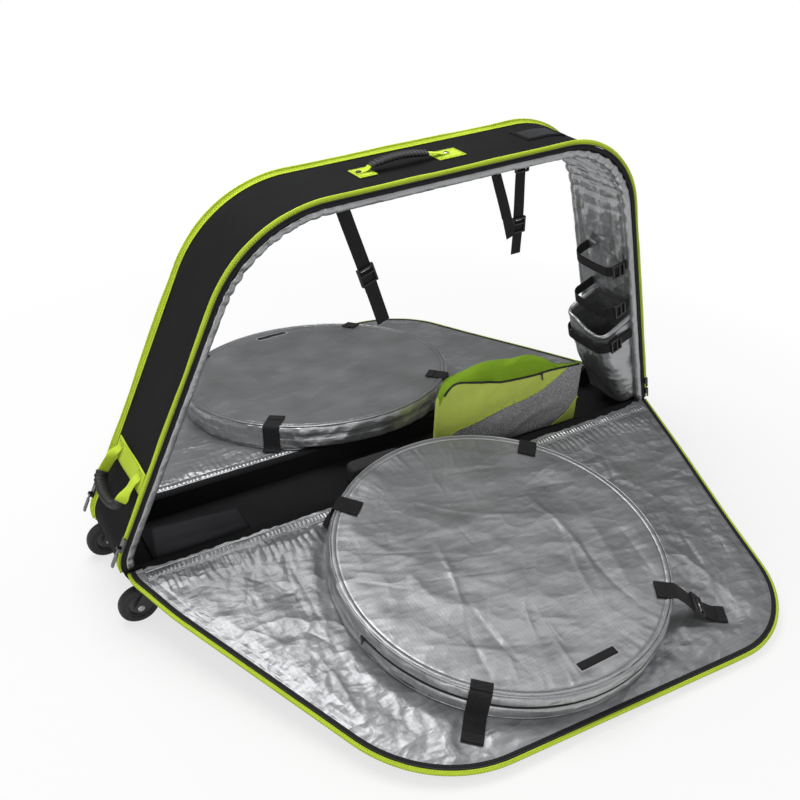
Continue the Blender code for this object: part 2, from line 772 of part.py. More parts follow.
def make_panel(side):
    """The padded layers of a side panel, each with its origin on the hinge line."""
    name = side_name(side)
    hinge = panel_point(side, BASE_LENGTH / 2, 0, 0)
    bottom = -PANEL_THICKNESS
    foot = PANEL_START + PANEL_SKIN
    loops = [panel_loop(side, PANEL_SKIN, bottom + PANEL_SKIN, foot),
             panel_loop(side, PANEL_SKIN, PANEL_LINING_TOP, foot),
             panel_loop(side, 0.0, PANEL_LINING_TOP, PANEL_START),
             panel_loop(side, 0.0, bottom, PANEL_START)]
    solid(name + "_panel_shell", loops, shell_fabric(), origin=hinge)
    inner = PANEL_SKIN + GAP
    for label, low, high, finish in (
            ("_panel_foam", bottom + PANEL_SKIN + GAP, PANEL_LINING_BOTTOM - GAP, closed_foam()),
            ("_panel_lining", PANEL_LINING_BOTTOM, PANEL_LINING_TOP, silver_fabric())):
        loops = [panel_loop(side, inner, low, foot + GAP), panel_loop(side, inner, high, foot + GAP)]
        solid(name + label, loops, finish, origin=hinge)
    tape_bottom = PANEL_LINING_TOP + GAP
    panel_band(name + "_panel_zip", side, 0.001, ZIP_TAPE_INNER, tape_bottom,
               tape_bottom + ZIP_TAPE_THICKNESS, zip_tape(), hinge)
    panel_band(name + "_panel_trim", side, -TRIM_PROUD, -GAP, PANEL_TRIM_LOW, PANEL_TRIM_HIGH,
               lime_fabric(), hinge)


def bag_circle(side, radius, n):
    points = []
    for i in range(BAG_STEPS):
        angle = 2 * math.pi * i / BAG_STEPS
        points.append(panel_point(side, BAG_U + radius * math.cos(angle),
                                  BAG_V + radius * math.sin(angle), n))
    return points


BAG_EDGE = 0.006
BAG_ZIP_LOW, BAG_ZIP_HIGH = 0.030, 0.037
BAG_ZIP_INNER = BAG_RADIUS + GAP
BAG_ZIP_OUTER = BAG_ZIP_INNER + 0.0012
NOTCH_REACH = 0.08
NOTCH_DEPTH = 0.02


def make_wheel_bag(side):
    """A flat round bag. Where it overhangs the hinge line its underside is cut away."""
    name = side_name(side) + "_wheel_bag"
    centre = panel_point(side, BAG_U, BAG_V, 0)
    loops = [bag_circle(side, BAG_RADIUS - BAG_EDGE, BAG_BOTTOM),
             bag_circle(side, BAG_RADIUS, BAG_BOTTOM + BAG_EDGE),
             bag_circle(side, BAG_RADIUS, BAG_TOP - BAG_EDGE),
             bag_circle(side, BAG_RADIUS - BAG_EDGE, BAG_TOP)]
    bag = solid(name, loops, silver_fabric(), origin=centre, smooth=True)
    notch_loops = []
    for u in (BAG_U - BAG_RADIUS, BAG_U + BAG_RADIUS):
        notch_loops.append([panel_point(side, u, -NOTCH_REACH, -NOTCH_DEPTH),
                            panel_point(side, u, BAG_OVERHANG_LIMIT, -NOTCH_DEPTH),
                            panel_point(side, u, BAG_OVERHANG_LIMIT, BAG_OVERHANG_BOTTOM),
                            panel_point(side, u, -NOTCH_REACH, BAG_OVERHANG_BOTTOM)])
    combine(bag, solid(name + "_notch", notch_loops, silver_fabric()), "DIFFERENCE")
    solid(name + "_zip", [bag_circle(side, BAG_ZIP_INNER, BAG_ZIP_LOW),
                          bag_circle(side, BAG_ZIP_OUTER, BAG_ZIP_LOW),
                          bag_circle(side, BAG_ZIP_OUTER, BAG_ZIP_HIGH),
                          bag_circle(side, BAG_ZIP_INNER, BAG_ZIP_HIGH)],
          zip_tape(), ring=True, origin=centre)
    for label, start, end in BAG_STRAPS:
        make_bag_strap(side, name + "_strap_" + label, Vector(start), Vector(end), centre)


# Each strap runs from a point on top of the bag to a point on the panel, as (u, v)
BAG_STRAPS = (
    ("hinge_left", (0.476, 0.095), (0.428, 0.041)),
    ("hinge_right", (0.898, 0.102), (0.943, 0.053)),
    ("outer_left", (0.468, 0.545), (0.414, 0.608)),
    ("outer_right", (0.893, 0.527), (1.031, 0.610)),
)


def rim_distance(start, run, across, offset, radius):
    """How far along a strap its edge line meets a circle about the bag's centre."""
    origin = start + across * offset - Vector((BAG_U, BAG_V))
    along = origin.dot(run)
    return -along + math.sqrt(along ** 2 - origin.length_squared + radius ** 2)


STRAP_BEND = 0.005


def make_bag_strap(side, name, start, end, origin):
    """Webbing over the top of a bag, down its side wall and out along the panel."""
    run = (end - start).normalized()
    across = Vector((-run.y, run.x))
    half = STRAP_WIDTH / 2
    clear = BAG_ZIP_OUTER + GAP
    rim = max(rim_distance(start, run, across, offset, clear) for offset in (-half, 0, half))
    rim += GAP
    length = (end - start).length
    web = WEB_THICKNESS
    top = BAG_TOP + GAP
    flat = BAG_BOTTOM
    bend = 0.4 * web
    lower = [(0, top), (rim - STRAP_BEND, top), (rim, top - STRAP_BEND), (rim, flat), (length, flat)]
    upper = [(length, flat + web), (rim + web, flat + web), (rim + web, top - STRAP_BEND + bend),
             (rim - STRAP_BEND + bend, top + web), (0, top + web)]
    loops = []
    for offset in (-half, half):
        loop = []
        for distance, n in lower + upper:
            place = start + run * distance + across * offset
            loop.append(panel_point(side, place.x, place.y, n))
        loops.append(loop)
    return solid(name, loops, black_webbing(), origin=origin)


# Zip sliders on the low end, where the panel zips close

SLIDER_V = 0.062
SLIDER_HALF_LENGTH = 0.013
SLIDER_HALF_WIDTH = 0.0065
SLIDER_INNER, SLIDER_OUTER = 0.0056, 0.0096
SLIDER_LOW = SLIDER_V - SLIDER_HALF_LENGTH
LUG_OFFSET = 0.0045
LUG_HALF_WIDTH = 0.0015
PULL_V = SLIDER_LOW + 0.004
PULL_OUT = SLIDER_OUTER + 0.003
PULL_HALF_THICKNESS = 0.0011
# One edge of the pull tab, from its eye down to its tip, as (rise, distance across)
PULL_EDGE = ((0.0020, 0.0026), (-0.008, 0.0026), (-0.010, 0.0055), (-0.034, 0.0055),
             (-0.037, 0.0030))


def make_zip_slider(side):
    name = side_name(side)
    y_middle = side * (HALF_WIDTH + HINGE_GAP)
    slider = low_wall_plate(name + "_zip_slider", SLIDER_LOW, SLIDER_V + SLIDER_HALF_LENGTH,
                            y_middle - SLIDER_HALF_WIDTH, y_middle + SLIDER_HALF_WIDTH,
                            SLIDER_INNER, SLIDER_OUTER, chrome_metal())
    for offset in (-LUG_OFFSET, LUG_OFFSET):
        lug_y = y_middle + offset
        lug = low_wall_plate(name + "_zip_lug", SLIDER_LOW + 0.001, SLIDER_LOW + 0.007,
                             lug_y - LUG_HALF_WIDTH, lug_y + LUG_HALF_WIDTH,
                             SLIDER_OUTER - 0.001, SLIDER_OUTER + 0.0055, chrome_metal())
        combine(slider, lug, "UNION")
    outline = list(PULL_EDGE) + [(rise, -across) for rise, across in reversed(PULL_EDGE)]
    loops = []
    for out in (PULL_OUT - PULL_HALF_THICKNESS, PULL_OUT + PULL_HALF_THICKNESS):
        loops.append([low_wall_point(PULL_V + rise, out, y_middle + across)
                      for rise, across in outline])
    solid(name + "_zip_pull", loops, chrome_metal(),
          origin=low_wall_point(PULL_V, PULL_OUT, y_middle))


def stand_on_origin():
    """Parents every piece to one empty and centres the whole case over the origin."""
    corners = []
    bpy.context.view_layer.update()
    pieces = [o for o in bpy.data.objects if o.type == "MESH"]
    for piece in pieces:
        if not piece.hide_render:
            corners += [piece.matrix_world @ Vector(c) for c in piece.bound_box]
    middle = (min(c.x for c in corners) + max(c.x for c in corners)) / 2
    case = bpy.data.objects.new("case_frame", None)
    bpy.context.scene.collection.objects.link(case)
    for piece in pieces:
        piece.parent = case
    case.location.x = -middle
    return case


def main():
    clear_scene()
    make_gusset()
    make_base()
    make_rear_skid()
    make_wheels()
    make_top_handle()
    make_id_window()
    make_end_handle()
    make_frame_straps()
    make_fork_pocket()
    make_accessory_bag()
    for side in (-1, 1):
        make_panel(side)
        make_wheel_bag(side)
        make_zip_slider(side)
    stand_on_origin()


main()
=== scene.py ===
"""Looks of the soft bike travel case: cloth, padding, webbing, zips and moulded parts.

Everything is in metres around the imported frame. In case coordinates, x runs from the low foot of the
ring, v is the height above the hinge line and y crosses the case. On a folded side panel, u runs with
x, v runs out from the hinge and n rises from the panel. An inset is a depth in from the outline.
"""

import json
from functools import partial
from math import asin, atan2, cos, pi, radians, sin, sqrt

import bmesh
import bpy
import numpy as np
from mathutils import Matrix, Vector


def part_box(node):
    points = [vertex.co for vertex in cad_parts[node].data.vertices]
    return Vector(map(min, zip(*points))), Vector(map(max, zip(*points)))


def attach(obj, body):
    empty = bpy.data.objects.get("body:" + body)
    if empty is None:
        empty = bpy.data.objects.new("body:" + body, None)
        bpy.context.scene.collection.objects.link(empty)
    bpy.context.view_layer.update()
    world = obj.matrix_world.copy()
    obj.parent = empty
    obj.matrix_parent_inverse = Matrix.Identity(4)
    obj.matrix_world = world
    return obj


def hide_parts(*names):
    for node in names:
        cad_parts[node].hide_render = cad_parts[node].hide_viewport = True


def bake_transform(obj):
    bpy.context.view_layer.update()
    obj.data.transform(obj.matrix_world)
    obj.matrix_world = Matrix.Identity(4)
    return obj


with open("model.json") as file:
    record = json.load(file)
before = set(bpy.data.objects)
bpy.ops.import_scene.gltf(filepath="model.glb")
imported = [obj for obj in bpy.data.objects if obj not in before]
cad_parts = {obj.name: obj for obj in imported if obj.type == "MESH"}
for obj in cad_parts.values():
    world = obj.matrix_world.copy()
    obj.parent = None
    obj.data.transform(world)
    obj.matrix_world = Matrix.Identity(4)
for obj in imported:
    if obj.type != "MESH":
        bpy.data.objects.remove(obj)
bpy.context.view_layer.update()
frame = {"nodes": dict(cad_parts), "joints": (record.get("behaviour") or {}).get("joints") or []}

# Driving dimensions, the same as in the part's source
BASE_LENGTH = 1.38
HINGE_HEIGHT = 0.115
HALF_WIDTH = 0.095
BASE_DEPTH = 0.062
LOW_TOP = np.array((0.304, 0.655))
HIGH_TOP = np.array((1.171, 0.708))
LOW_FOOT_RADIUS, LOW_TOP_RADIUS = 0.075, 0.267
HIGH_TOP_RADIUS, HIGH_FOOT_RADIUS = 0.208, 0.050
HINGE_OUT = HALF_WIDTH + 0.002
PANEL_START = 0.005
PANEL_THICKNESS = 0.018
PANEL_REACH = 0.7075
PANEL_SLOPE = asin((HINGE_HEIGHT - 0.0006 - PANEL_THICKNESS) / PANEL_REACH)
BAG_CENTRE = np.array((0.681, 0.305))
BAG_RADIUS = 0.345
STRAP_WIDTH = 0.040
START_X = [j for j in frame["joints"] if j["name"] == "front_panel_fold"][0]["pos_m"][0]
SIDES = ((-1, "front"), (1, "back"))
CASE = "case_body"


# Places

def ring_point(x, v, y):
    """Row frame point from case coordinates. All may be arrays."""
    return np.stack(np.broadcast_arrays(x + START_X, y, HINGE_HEIGHT + v), -1)


def panel_point(side, u, v, n):
    out = HINGE_OUT + v * cos(PANEL_SLOPE) + n * sin(PANEL_SLOPE)
    up = HINGE_HEIGHT - v * sin(PANEL_SLOPE) + n * cos(PANEL_SLOPE)
    return np.stack(np.broadcast_arrays(u + START_X, side * out, up), -1)


def panel_up(side):
    return np.array((0.0, side * sin(PANEL_SLOPE), cos(PANEL_SLOPE)))


def left_of(run):
    """Unit normal on the left of a run, which points out of the case."""
    run = run / np.linalg.norm(run)
    return np.array((-run[1], run[0]))


def corner_centre(corner, before, after, radius):
    return corner - (before + after) / (1 + before @ after) * radius


LOW_SLOPE = LOW_TOP[0] / LOW_TOP[1]
HIGH_SLOPE = (HIGH_TOP[0] - BASE_LENGTH) / HIGH_TOP[1]
LOW_FOOT = np.array((-LOW_SLOPE * BASE_DEPTH, -BASE_DEPTH))
HIGH_FOOT = np.array((BASE_LENGTH - HIGH_SLOPE * BASE_DEPTH, -BASE_DEPTH))
LOW_NORMAL = left_of(LOW_TOP - LOW_FOOT)
TOP_NORMAL = left_of(HIGH_TOP - LOW_TOP)
HIGH_NORMAL = left_of(HIGH_FOOT - HIGH_TOP)
DOWN = np.array((0.0, -1.0))
LOW_FOOT_CENTRE = corner_centre(LOW_FOOT, DOWN, LOW_NORMAL, LOW_FOOT_RADIUS)
LOW_TOP_CENTRE = corner_centre(LOW_TOP, LOW_NORMAL, TOP_NORMAL, LOW_TOP_RADIUS)
HIGH_TOP_CENTRE = corner_centre(HIGH_TOP, TOP_NORMAL, HIGH_NORMAL, HIGH_TOP_RADIUS)
HIGH_FOOT_CENTRE = corner_centre(HIGH_FOOT, HIGH_NORMAL, DOWN, HIGH_FOOT_RADIUS)


def wall_x(v, low_side):
    """x of an end wall's outer face at a height above the hinge line."""
    centre, radius, normal, foot = (
        (LOW_FOOT_CENTRE, LOW_FOOT_RADIUS, LOW_NORMAL, LOW_FOOT) if low_side
        else (HIGH_FOOT_CENTRE, HIGH_FOOT_RADIUS, HIGH_NORMAL, HIGH_FOOT))
    if v < centre[1] + radius * normal[1]:
        across = sqrt(radius ** 2 - (v - centre[1]) ** 2)
        return centre[0] - across if low_side else centre[0] + across
    return foot[0] - (v - foot[1]) * normal[1] / normal[0]


def arc(centre, radius, start, end, steps=24):
    angles = np.linspace(atan2(start[1], start[0]), atan2(end[1], end[0]), steps)
    return [centre + radius * np.array((cos(a), sin(a))) for a in angles]


class Line:
    """A curve in a plane, with evenly spaced points, outward normals and running lengths."""

    def __init__(self, points, count):
        points = np.array(points)
        steps = np.linalg.norm(np.diff(points, axis=0), axis=1)
        reach = np.concatenate([[0], np.cumsum(steps)])
        self.lengths = np.linspace(0, reach[-1], count)
        self.points = np.stack([np.interp(self.lengths, reach, points[:, k]) for k in (0, 1)], -1)
        run = np.gradient(self.points, axis=0)
        run /= np.linalg.norm(run, axis=1)[:, None]
        self.normals = np.stack([-run[:, 1], run[:, 0]], -1)
        self.draw = np.zeros(count)

    def at(self, insets):
        """Points at depths in from the line, as (count, columns, 2)."""
        insets = np.broadcast_to(insets, (len(self.points), np.shape(insets)[-1]))
        insets = insets + self.draw[:, None]
        return self.points[:, None] - self.normals[:, None] * insets[..., None]


def arch(foot_v, count):
    """The case's outline from the low foot over the top to the high foot."""
    low_join = LOW_TOP_CENTRE + LOW_NORMAL * LOW_TOP_RADIUS
    high_join = HIGH_TOP_CENTRE + HIGH_NORMAL * HIGH_TOP_RADIUS
    points = [np.array((wall_x(v, True), v)) for v in np.linspace(foot_v, low_join[1], 60)[:-1]]
    points += arc(LOW_TOP_CENTRE, LOW_TOP_RADIUS, LOW_NORMAL, TOP_NORMAL)
    points += arc(HIGH_TOP_CENTRE, HIGH_TOP_RADIUS, TOP_NORMAL, HIGH_NORMAL)
    points += [np.array((wall_x(v, False), v)) for v in np.linspace(high_join[1], foot_v, 60)[1:]]
    return Line(points, count)


def ramp(low, high, values):
    """0 below low and 1 above high, or the other way round where low is the larger."""
    share = np.clip((values - low) / (high - low), 0, 1)
    return share * share * (3 - 2 * share)


def soft_noise(x, y, seed):
    """Smooth random heights from -1 to 1, with cells of size 1."""
    table = np.random.default_rng(seed).uniform(-1, 1, (64, 64))
    column, row = np.floor(x).astype(int), np.floor(y).astype(int)
    fx, fy = x - column, y - row
    fx, fy = fx * fx * (3 - 2 * fx), fy * fy * (3 - 2 * fy)
    left, right, low, high = column % 64, (column + 1) % 64, row % 64, (row + 1) % 64
    bottom = table[left, low] * (1 - fx) + table[right, low] * fx
    top = table[left, high] * (1 - fx) + table[right, high] * fx
    return bottom * (1 - fy) + top * fy


def folds(x, y, angle, length, width, seed):
    """Long soft folds that run at an angle to x, sharper on their crests, from -1 to 1."""
    along = x * cos(angle) + y * sin(angle)
    across = y * cos(angle) - x * sin(angle)
    across = across + 0.25 * width * soft_noise(along / length * 2, across / width, seed + 50)
    return 1 - 2.4 * np.abs(soft_noise(along / length, across / width, seed))


def puffs(x, y, angle, length, width, seed):
    """Round pillows with sharp valleys between them, from 0 to 1."""
    along = x * cos(angle) + y * sin(angle)
    across = y * cos(angle) - x * sin(angle)
    return np.minimum(1, 2.3 * np.abs(soft_noise(along / length, across / width, seed))) ** 0.75


def pleats(across, along, pitch, length, seed):
    """Round pleats side by side at a pitch, with sharp valleys between them, from 0 to 1."""
    drift = soft_noise(along / length, across / (2.5 * pitch), seed)
    return np.abs(np.sin(pi * across / pitch + 1.5 * drift)) ** 0.75


def cell_distance(x, y, size, seed):
    """Distance from the nearest of scattered points, one in each cell of a size."""
    table = np.random.default_rng(seed).uniform(0.1, 0.9, (64, 64, 2))
    x, y = np.broadcast_arrays(x / size, y / size)
    column, row = np.floor(x).astype(int), np.floor(y).astype(int)
    nearest = np.full(x.shape, 9.0)
    for i in (-1, 0, 1):
        for j in (-1, 0, 1):
            spot = table[(column + i) % 64, (row + j) % 64]
            gap = np.hypot(column + i + spot[..., 0] - x, row + j + spot[..., 1] - y)
            nearest = np.minimum(nearest, gap)
    return nearest * size


def foil(x, y, size, slope, seed, angle=0.6, stretch=1.9):
    """Height of crushed film around 0: facets of a slope that meet in sharp creases."""
    total = -0.62 * slope * size
    for k in range(3):
        turn = angle + 1.25 * k
        along = (x * cos(turn) + y * sin(turn)) / stretch
        across = y * cos(turn) - x * sin(turn)
        total = total + slope * 0.8 ** k * cell_distance(along, across, size / 2 ** k, seed + k)
    return total


def crease_lines(x, y, box, count, height, width, length, angle, spread, seed):
    """Height of straight sharp creases scattered over a box, (x low, x high, y low, y high)."""
    random = np.random.default_rng(seed)
    total = np.zeros(np.broadcast(x, y).shape)
    for _ in range(count):
        centre_x, centre_y = random.uniform(box[0], box[1]), random.uniform(box[2], box[3])
        turn = angle + spread * random.uniform(-1, 1)
        reach = length * random.uniform(0.5, 1.5)
        size = height * random.uniform(0.4, 1.0) * random.choice((-0.7, 1.0))
        along = (x - centre_x) * cos(turn) + (y - centre_y) * sin(turn)
        across = (y - centre_y) * cos(turn) - (x - centre_x) * sin(turn)
        across = across + random.uniform(-0.15, 0.15) * along ** 2 / reach
        total += size * np.exp(-np.abs(across) / width - (along / reach) ** 2)
    return total


# Materials

WAVE_PITCH = 0.314159  # pitch of Blender's wave texture at scale 1


def node(tree, kind, inputs=(), **settings):
    made = tree.nodes.new("ShaderNode" + kind)
    for key, value in settings.items():
        setattr(made, key, value)
    for key, value in dict(inputs).items():
        if isinstance(value, bpy.types.NodeSocket):
            tree.links.new(value, made.inputs[key])
        else:
            made.inputs[key].default_value = value
    return made


def calc(tree, operation, *values):
    return node(tree, "Math", dict(enumerate(values)), operation=operation).outputs[0]


def ranged(tree, value, low, high, start=0.0, end=1.0):
    """A value between start and end mapped to one between low and high."""
    return node(tree, "MapRange", {"Value": value, "From Min": start, "From Max": end,
                                   "To Min": low, "To Max": high}).outputs[0]


def new_material(name, roughness, metallic=0.0, sheen=0.0, coat=0.0, specular=0.5):
    """A material, its node tree, its shader and the places that textures are read at."""
    made = bpy.data.materials.new(name)
    made.use_nodes = True
    tree = made.node_tree
    bsdf = tree.nodes["Principled BSDF"]
    for key, value in (("Roughness", roughness), ("Metallic", metallic), ("Sheen Weight", sheen),
                       ("Sheen Roughness", 0.45), ("Coat Weight", coat),
                       ("Specular IOR Level", specular)):
        bsdf.inputs[key].default_value = value
    return made, tree, bsdf, node(tree, "TexCoord").outputs


def connect(tree, bsdf, colour, normal, roughness=None):
    tree.links.new(colour, bsdf.inputs["Base Color"])
    tree.links.new(normal, bsdf.inputs["Normal"])
    if roughness is not None:
        tree.links.new(roughness, bsdf.inputs["Roughness"])


def blend_colours(tree, factor, dark, light):
    made = node(tree, "ValToRGB", {"Fac": factor})
    for element, colour, position in zip(made.color_ramp.elements, (dark, light), (0.25, 0.75)):
        element.color = (*colour, 1)
        element.position = position
    return made.outputs["Color"]


def shaded(tree, factor, colour, spread):
    """A colour that a factor turns darker or lighter by a spread."""
    return blend_colours(tree, factor, *[[c * (1 + sign * spread) for c in colour] for sign in (-1, 1)])


def wave(tree, place, pitch, direction, distortion=0.0):
    return node(tree, "TexWave", {"Vector": place, "Scale": WAVE_PITCH / pitch, "Distortion": distortion},
                bands_direction=direction).outputs["Fac"]


def threads(tree, place, pitch):
    """Height of crossing threads, from 0 to 1."""
    return calc(tree, "MAXIMUM", wave(tree, place, pitch, "X"), wave(tree, place, pitch, "Y"))


def noise(tree, place, scale, detail=4.0):
    return node(tree, "TexNoise", {"Vector": place, "Scale": scale, "Detail": detail}).outputs["Fac"]


def bump(tree, height, distance, below=None):
    inputs = {"Height": height, "Distance": distance, "Strength": 1.0}
    if below is not None:
        inputs["Normal"] = below
    return node(tree, "Bump", inputs).outputs["Normal"]


def mixed(tree, first, second, share):
    """first and second added in the given shares."""
    return calc(tree, "MULTIPLY_ADD", second, share, calc(tree, "MULTIPLY", first, 1 - share))


def woven(name, colour, pitch, roughness=0.85, sheen=0.02, spread=0.22, depth=0.0003, space="UV"):
    """Woven cloth: crossing threads, soft small wrinkles, and colour that drifts with wear."""
    made, tree, bsdf, places = new_material(name, roughness, sheen=sheen, specular=0.12)
    weave = threads(tree, places[space], pitch)
    drift = noise(tree, places["Object"], 14)
    wrinkles = bump(tree, noise(tree, places["Object"], 45), 0.0008)
    connect(tree, bsdf, shaded(tree, mixed(tree, drift, weave, 0.35), colour, spread),
            bump(tree, weave, depth, wrinkles))
    return made


def creased(tree, place, size, slope, angle, below=None):
    """Normal of crushed film, whose facets are about a size across and have a slope."""
    wobble = node(tree, "TexNoise", {"Vector": place, "Scale": 0.5 / size, "Detail": 2.0})
    turned = node(tree, "Mapping", {"Vector": place, "Rotation": (0, 0, angle),
                                    "Scale": (0.5, 1.0, 1.0)}).outputs[0]
    moved = node(tree, "VectorMath", {0: wobble.outputs["Color"], 1: (size, size, size),
                                      2: turned}, operation="MULTIPLY_ADD").outputs[0]
    cells = node(tree, "TexVoronoi", {"Vector": moved, "Scale": 1 / size})
    return bump(tree, cells.outputs["Distance"], slope * size, below)


def coated(name, colour, roughness, slope, space, metallic=0.85):
    """Silver coated cloth: creases like crushed film, the scrim's thin lines and uneven gloss."""
    made, tree, bsdf, places = new_material(name, roughness, metallic)
    place = places["Object"]
    drift = noise(tree, place, 9, 5)
    lines = calc(tree, "POWER", threads(tree, places[space], 0.0075), 8.0)
    normal = creased(tree, place, 0.042, slope, 0.5)
    normal = creased(tree, place, 0.014, slope * 0.7, 1.9, normal)
    connect(tree, bsdf, shaded(tree, mixed(tree, drift, lines, 0.16), colour, 0.16),
            bump(tree, lines, 0.00005, normal), ranged(tree, drift, roughness - 0.08, roughness + 0.10))
    return made


def webbing(name, colour):
    """Flat woven webbing: ribs across the strap and a herringbone of threads along it."""
    made, tree, bsdf, places = new_material(name, 0.7, sheen=0.02, specular=0.25)
    height = mixed(tree, wave(tree, places["UV"], 0.0022, "Y", 0.4), wave(tree, places["UV"], 0.005, "X"),
                   0.4)
    connect(tree, bsdf, shaded(tree, height, colour, 0.3), bump(tree, height, 0.0004))
    return made


def moulded(name, colour, roughness, grain=900, depth=0.0001, spread=0.1, metallic=0.0):
    """Moulded plastic, rubber or plated metal: fine grain, with scuffed patches."""
    made, tree, bsdf, places = new_material(name, roughness, metallic)
    place = places["Object"]
    wear = noise(tree, place, 60, 5)
    connect(tree, bsdf, shaded(tree, wear, colour, spread),
            bump(tree, noise(tree, place, grain, 2), depth),
            ranged(tree, wear, roughness - 0.08, roughness + 0.08))
    return made


def mesh_cloth(name, colour):
    """Open knitted mesh over a backing: rows of dark holes between bright threads."""
    made, tree, bsdf, places = new_material(name, 0.5, specular=0.6)
    holes = node(tree, "TexVoronoi", {"Vector": places["UV"], "Scale": 280.0,
                                      "Randomness": 0.45}).outputs["Distance"]
    wrinkles = bump(tree, noise(tree, places["Object"], 40), 0.001)
    connect(tree, bsdf, blend_colours(tree, holes, [c * 0.4 for c in colour], [c * 1.5 for c in colour]),
            bump(tree, holes, 0.0005, wrinkles))
    return made


def film(name):
    """Flexible glossy film over a dark card."""
    made, tree, bsdf, places = new_material(name, 0.3, coat=0.2)
    place = places["Object"]
    connect(tree, bsdf,
            blend_colours(tree, noise(tree, place, 12), (0.02, 0.021, 0.022), (0.04, 0.041, 0.043)),
            bump(tree, noise(tree, place, 25, 2), 0.002))
    return made


LIME = (0.54, 0.69, 0.05)
SILVER = (0.43, 0.435, 0.445)
DULL_SILVER = (0.385, 0.39, 0.40)
BLACK = (0.0085, 0.0085, 0.0095)
# Each finish is a material and the record's slot that it stands for
FINISHES = {
    "shell": (woven("coarse_black_cloth", BLACK, 0.0016), "shell_fabric"),
    "shell_solid": (woven("black_cloth_on_board", BLACK, 0.0016, space="Object"), "shell_fabric"),
    "flap": (woven("padded_black_cloth", (0.040, 0.040, 0.045), 0.0012, 0.75), "flap_fabric"),
    "lime": (woven("lime_cloth", LIME, 0.0014, 0.7, 0.04, 0.12, 0.0002), "lime_fabric"),
    # The tool bag's top: a darker copy of the lime that paints shade on it
    "lime_painted_shade": (woven("lime_cloth_painted_shade", (0.22, 0.38, 0.02), 0.0014, 0.7), "lime_fabric"),
    # The tool bag's sides and front: a paler copy of the lime that paints light on them
    "lime_painted_light": (woven("lime_cloth_painted_light", (0.60, 0.71, 0.13), 0.0014, 0.7, 0.04, 0.12, 0.0002),
                  "lime_fabric"),
    "lime_thread": (woven("lime_thread", (0.20, 0.27, 0.015), 0.002, 0.8), "lime_fabric"),
    "silver": (coated("silver_cloth", SILVER, 0.34, 0.13, "UV"), "silver_fabric"),
    "silver_panel": (coated("silver_panel_cloth", DULL_SILVER, 0.40, 0.12, "Object", 0.80),
                     "silver_fabric"),
    "silver_smooth": (coated("smooth_silver_cloth", SILVER, 0.37, 0.05, "Object"), "silver_fabric"),
    "silver_thread": (moulded("silver_thread", (0.45, 0.45, 0.46), 0.6), "silver_fabric"),
    "mesh": (mesh_cloth("grey_mesh", (0.38, 0.38, 0.39)), "lime_fabric"),
    "foam": (moulded("closed_cell_foam", (0.03, 0.03, 0.032), 0.95, 700, 0.0004), "closed_foam"),
    "tape": (woven("zip_tape_cloth", (0.02, 0.02, 0.022), 0.0012, 0.8), "zip_tape"),
    "teeth": (moulded("zip_coil", (0.03, 0.03, 0.033), 0.4), "zip_tape"),
    "webbing": (webbing("black_webbing_weave", (0.013, 0.013, 0.014)), "black_webbing"),
    "dark_thread": (moulded("dark_thread", (0.04, 0.04, 0.042), 0.7), "black_webbing"),
    "plastic": (moulded("black_plastic", (0.014, 0.014, 0.015), 0.42), "black_plastic"),
    "board": (woven("board_cloth", (0.012, 0.012, 0.013), 0.002, space="Object"), "board_plastic"),
    "wheel_plastic": (moulded("wheel_plastic", (0.03, 0.03, 0.032), 0.45), "wheel_plastic"),
    "hub": (moulded("hub_plastic", (0.045, 0.045, 0.048), 0.4), "hub_plastic"),
    "tyre": (moulded("tyre_rubber", (0.018, 0.018, 0.019), 0.65, 500, 0.0002), "tyre_rubber"),
    "grip": (moulded("grip_rubber", (0.02, 0.02, 0.021), 0.55, 600, 0.0002), "handle_rubber"),
    "chrome": (moulded("plated_metal", (0.5, 0.5, 0.51), 0.2, 300, 0.00004, 0.05, 1.0),
               "chrome_metal"),
    "gunmetal": (moulded("dark_plated_metal", (0.13, 0.13, 0.135), 0.3, 300, 0.00004, 0.05, 1.0),
                 "chrome_metal"),
    "window": (film("window_film"), "clear_window"),
}


# Mesh building

def clean_mesh(mesh, merge=False):
    """Turns the faces outward, and joins points that coincide where merge is true."""
    bm = bmesh.new()
    bm.from_mesh(mesh)
    if merge:
        bmesh.ops.remove_doubles(bm, verts=bm.verts[:], dist=1e-6)
    bmesh.ops.recalc_face_normals(bm, faces=bm.faces[:])
    bm.to_mesh(mesh)
    bm.free()


def add_object(name, data):
    made = bpy.data.objects.new(name, data)
    bpy.context.scene.collection.objects.link(made)
    return made


def piece(name, mesh, finish, body=CASE):
    """Links a mesh, or the mesh that a bmesh holds, as a piece with its finish, riding on a body."""
    if isinstance(mesh, bmesh.types.BMesh):
        built, mesh = mesh, bpy.data.meshes.new(name)
        built.to_mesh(mesh)
        built.free()
    mesh.shade_smooth()
    made = add_object(name, mesh)
    material, slot = FINISHES[finish]
    mesh.materials.append(material)
    if body:
        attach(made, body)
    return made


def running(points):
    steps = np.linalg.norm(np.diff(points, axis=0), axis=1)
    return np.concatenate([[0], np.cumsum(steps)])


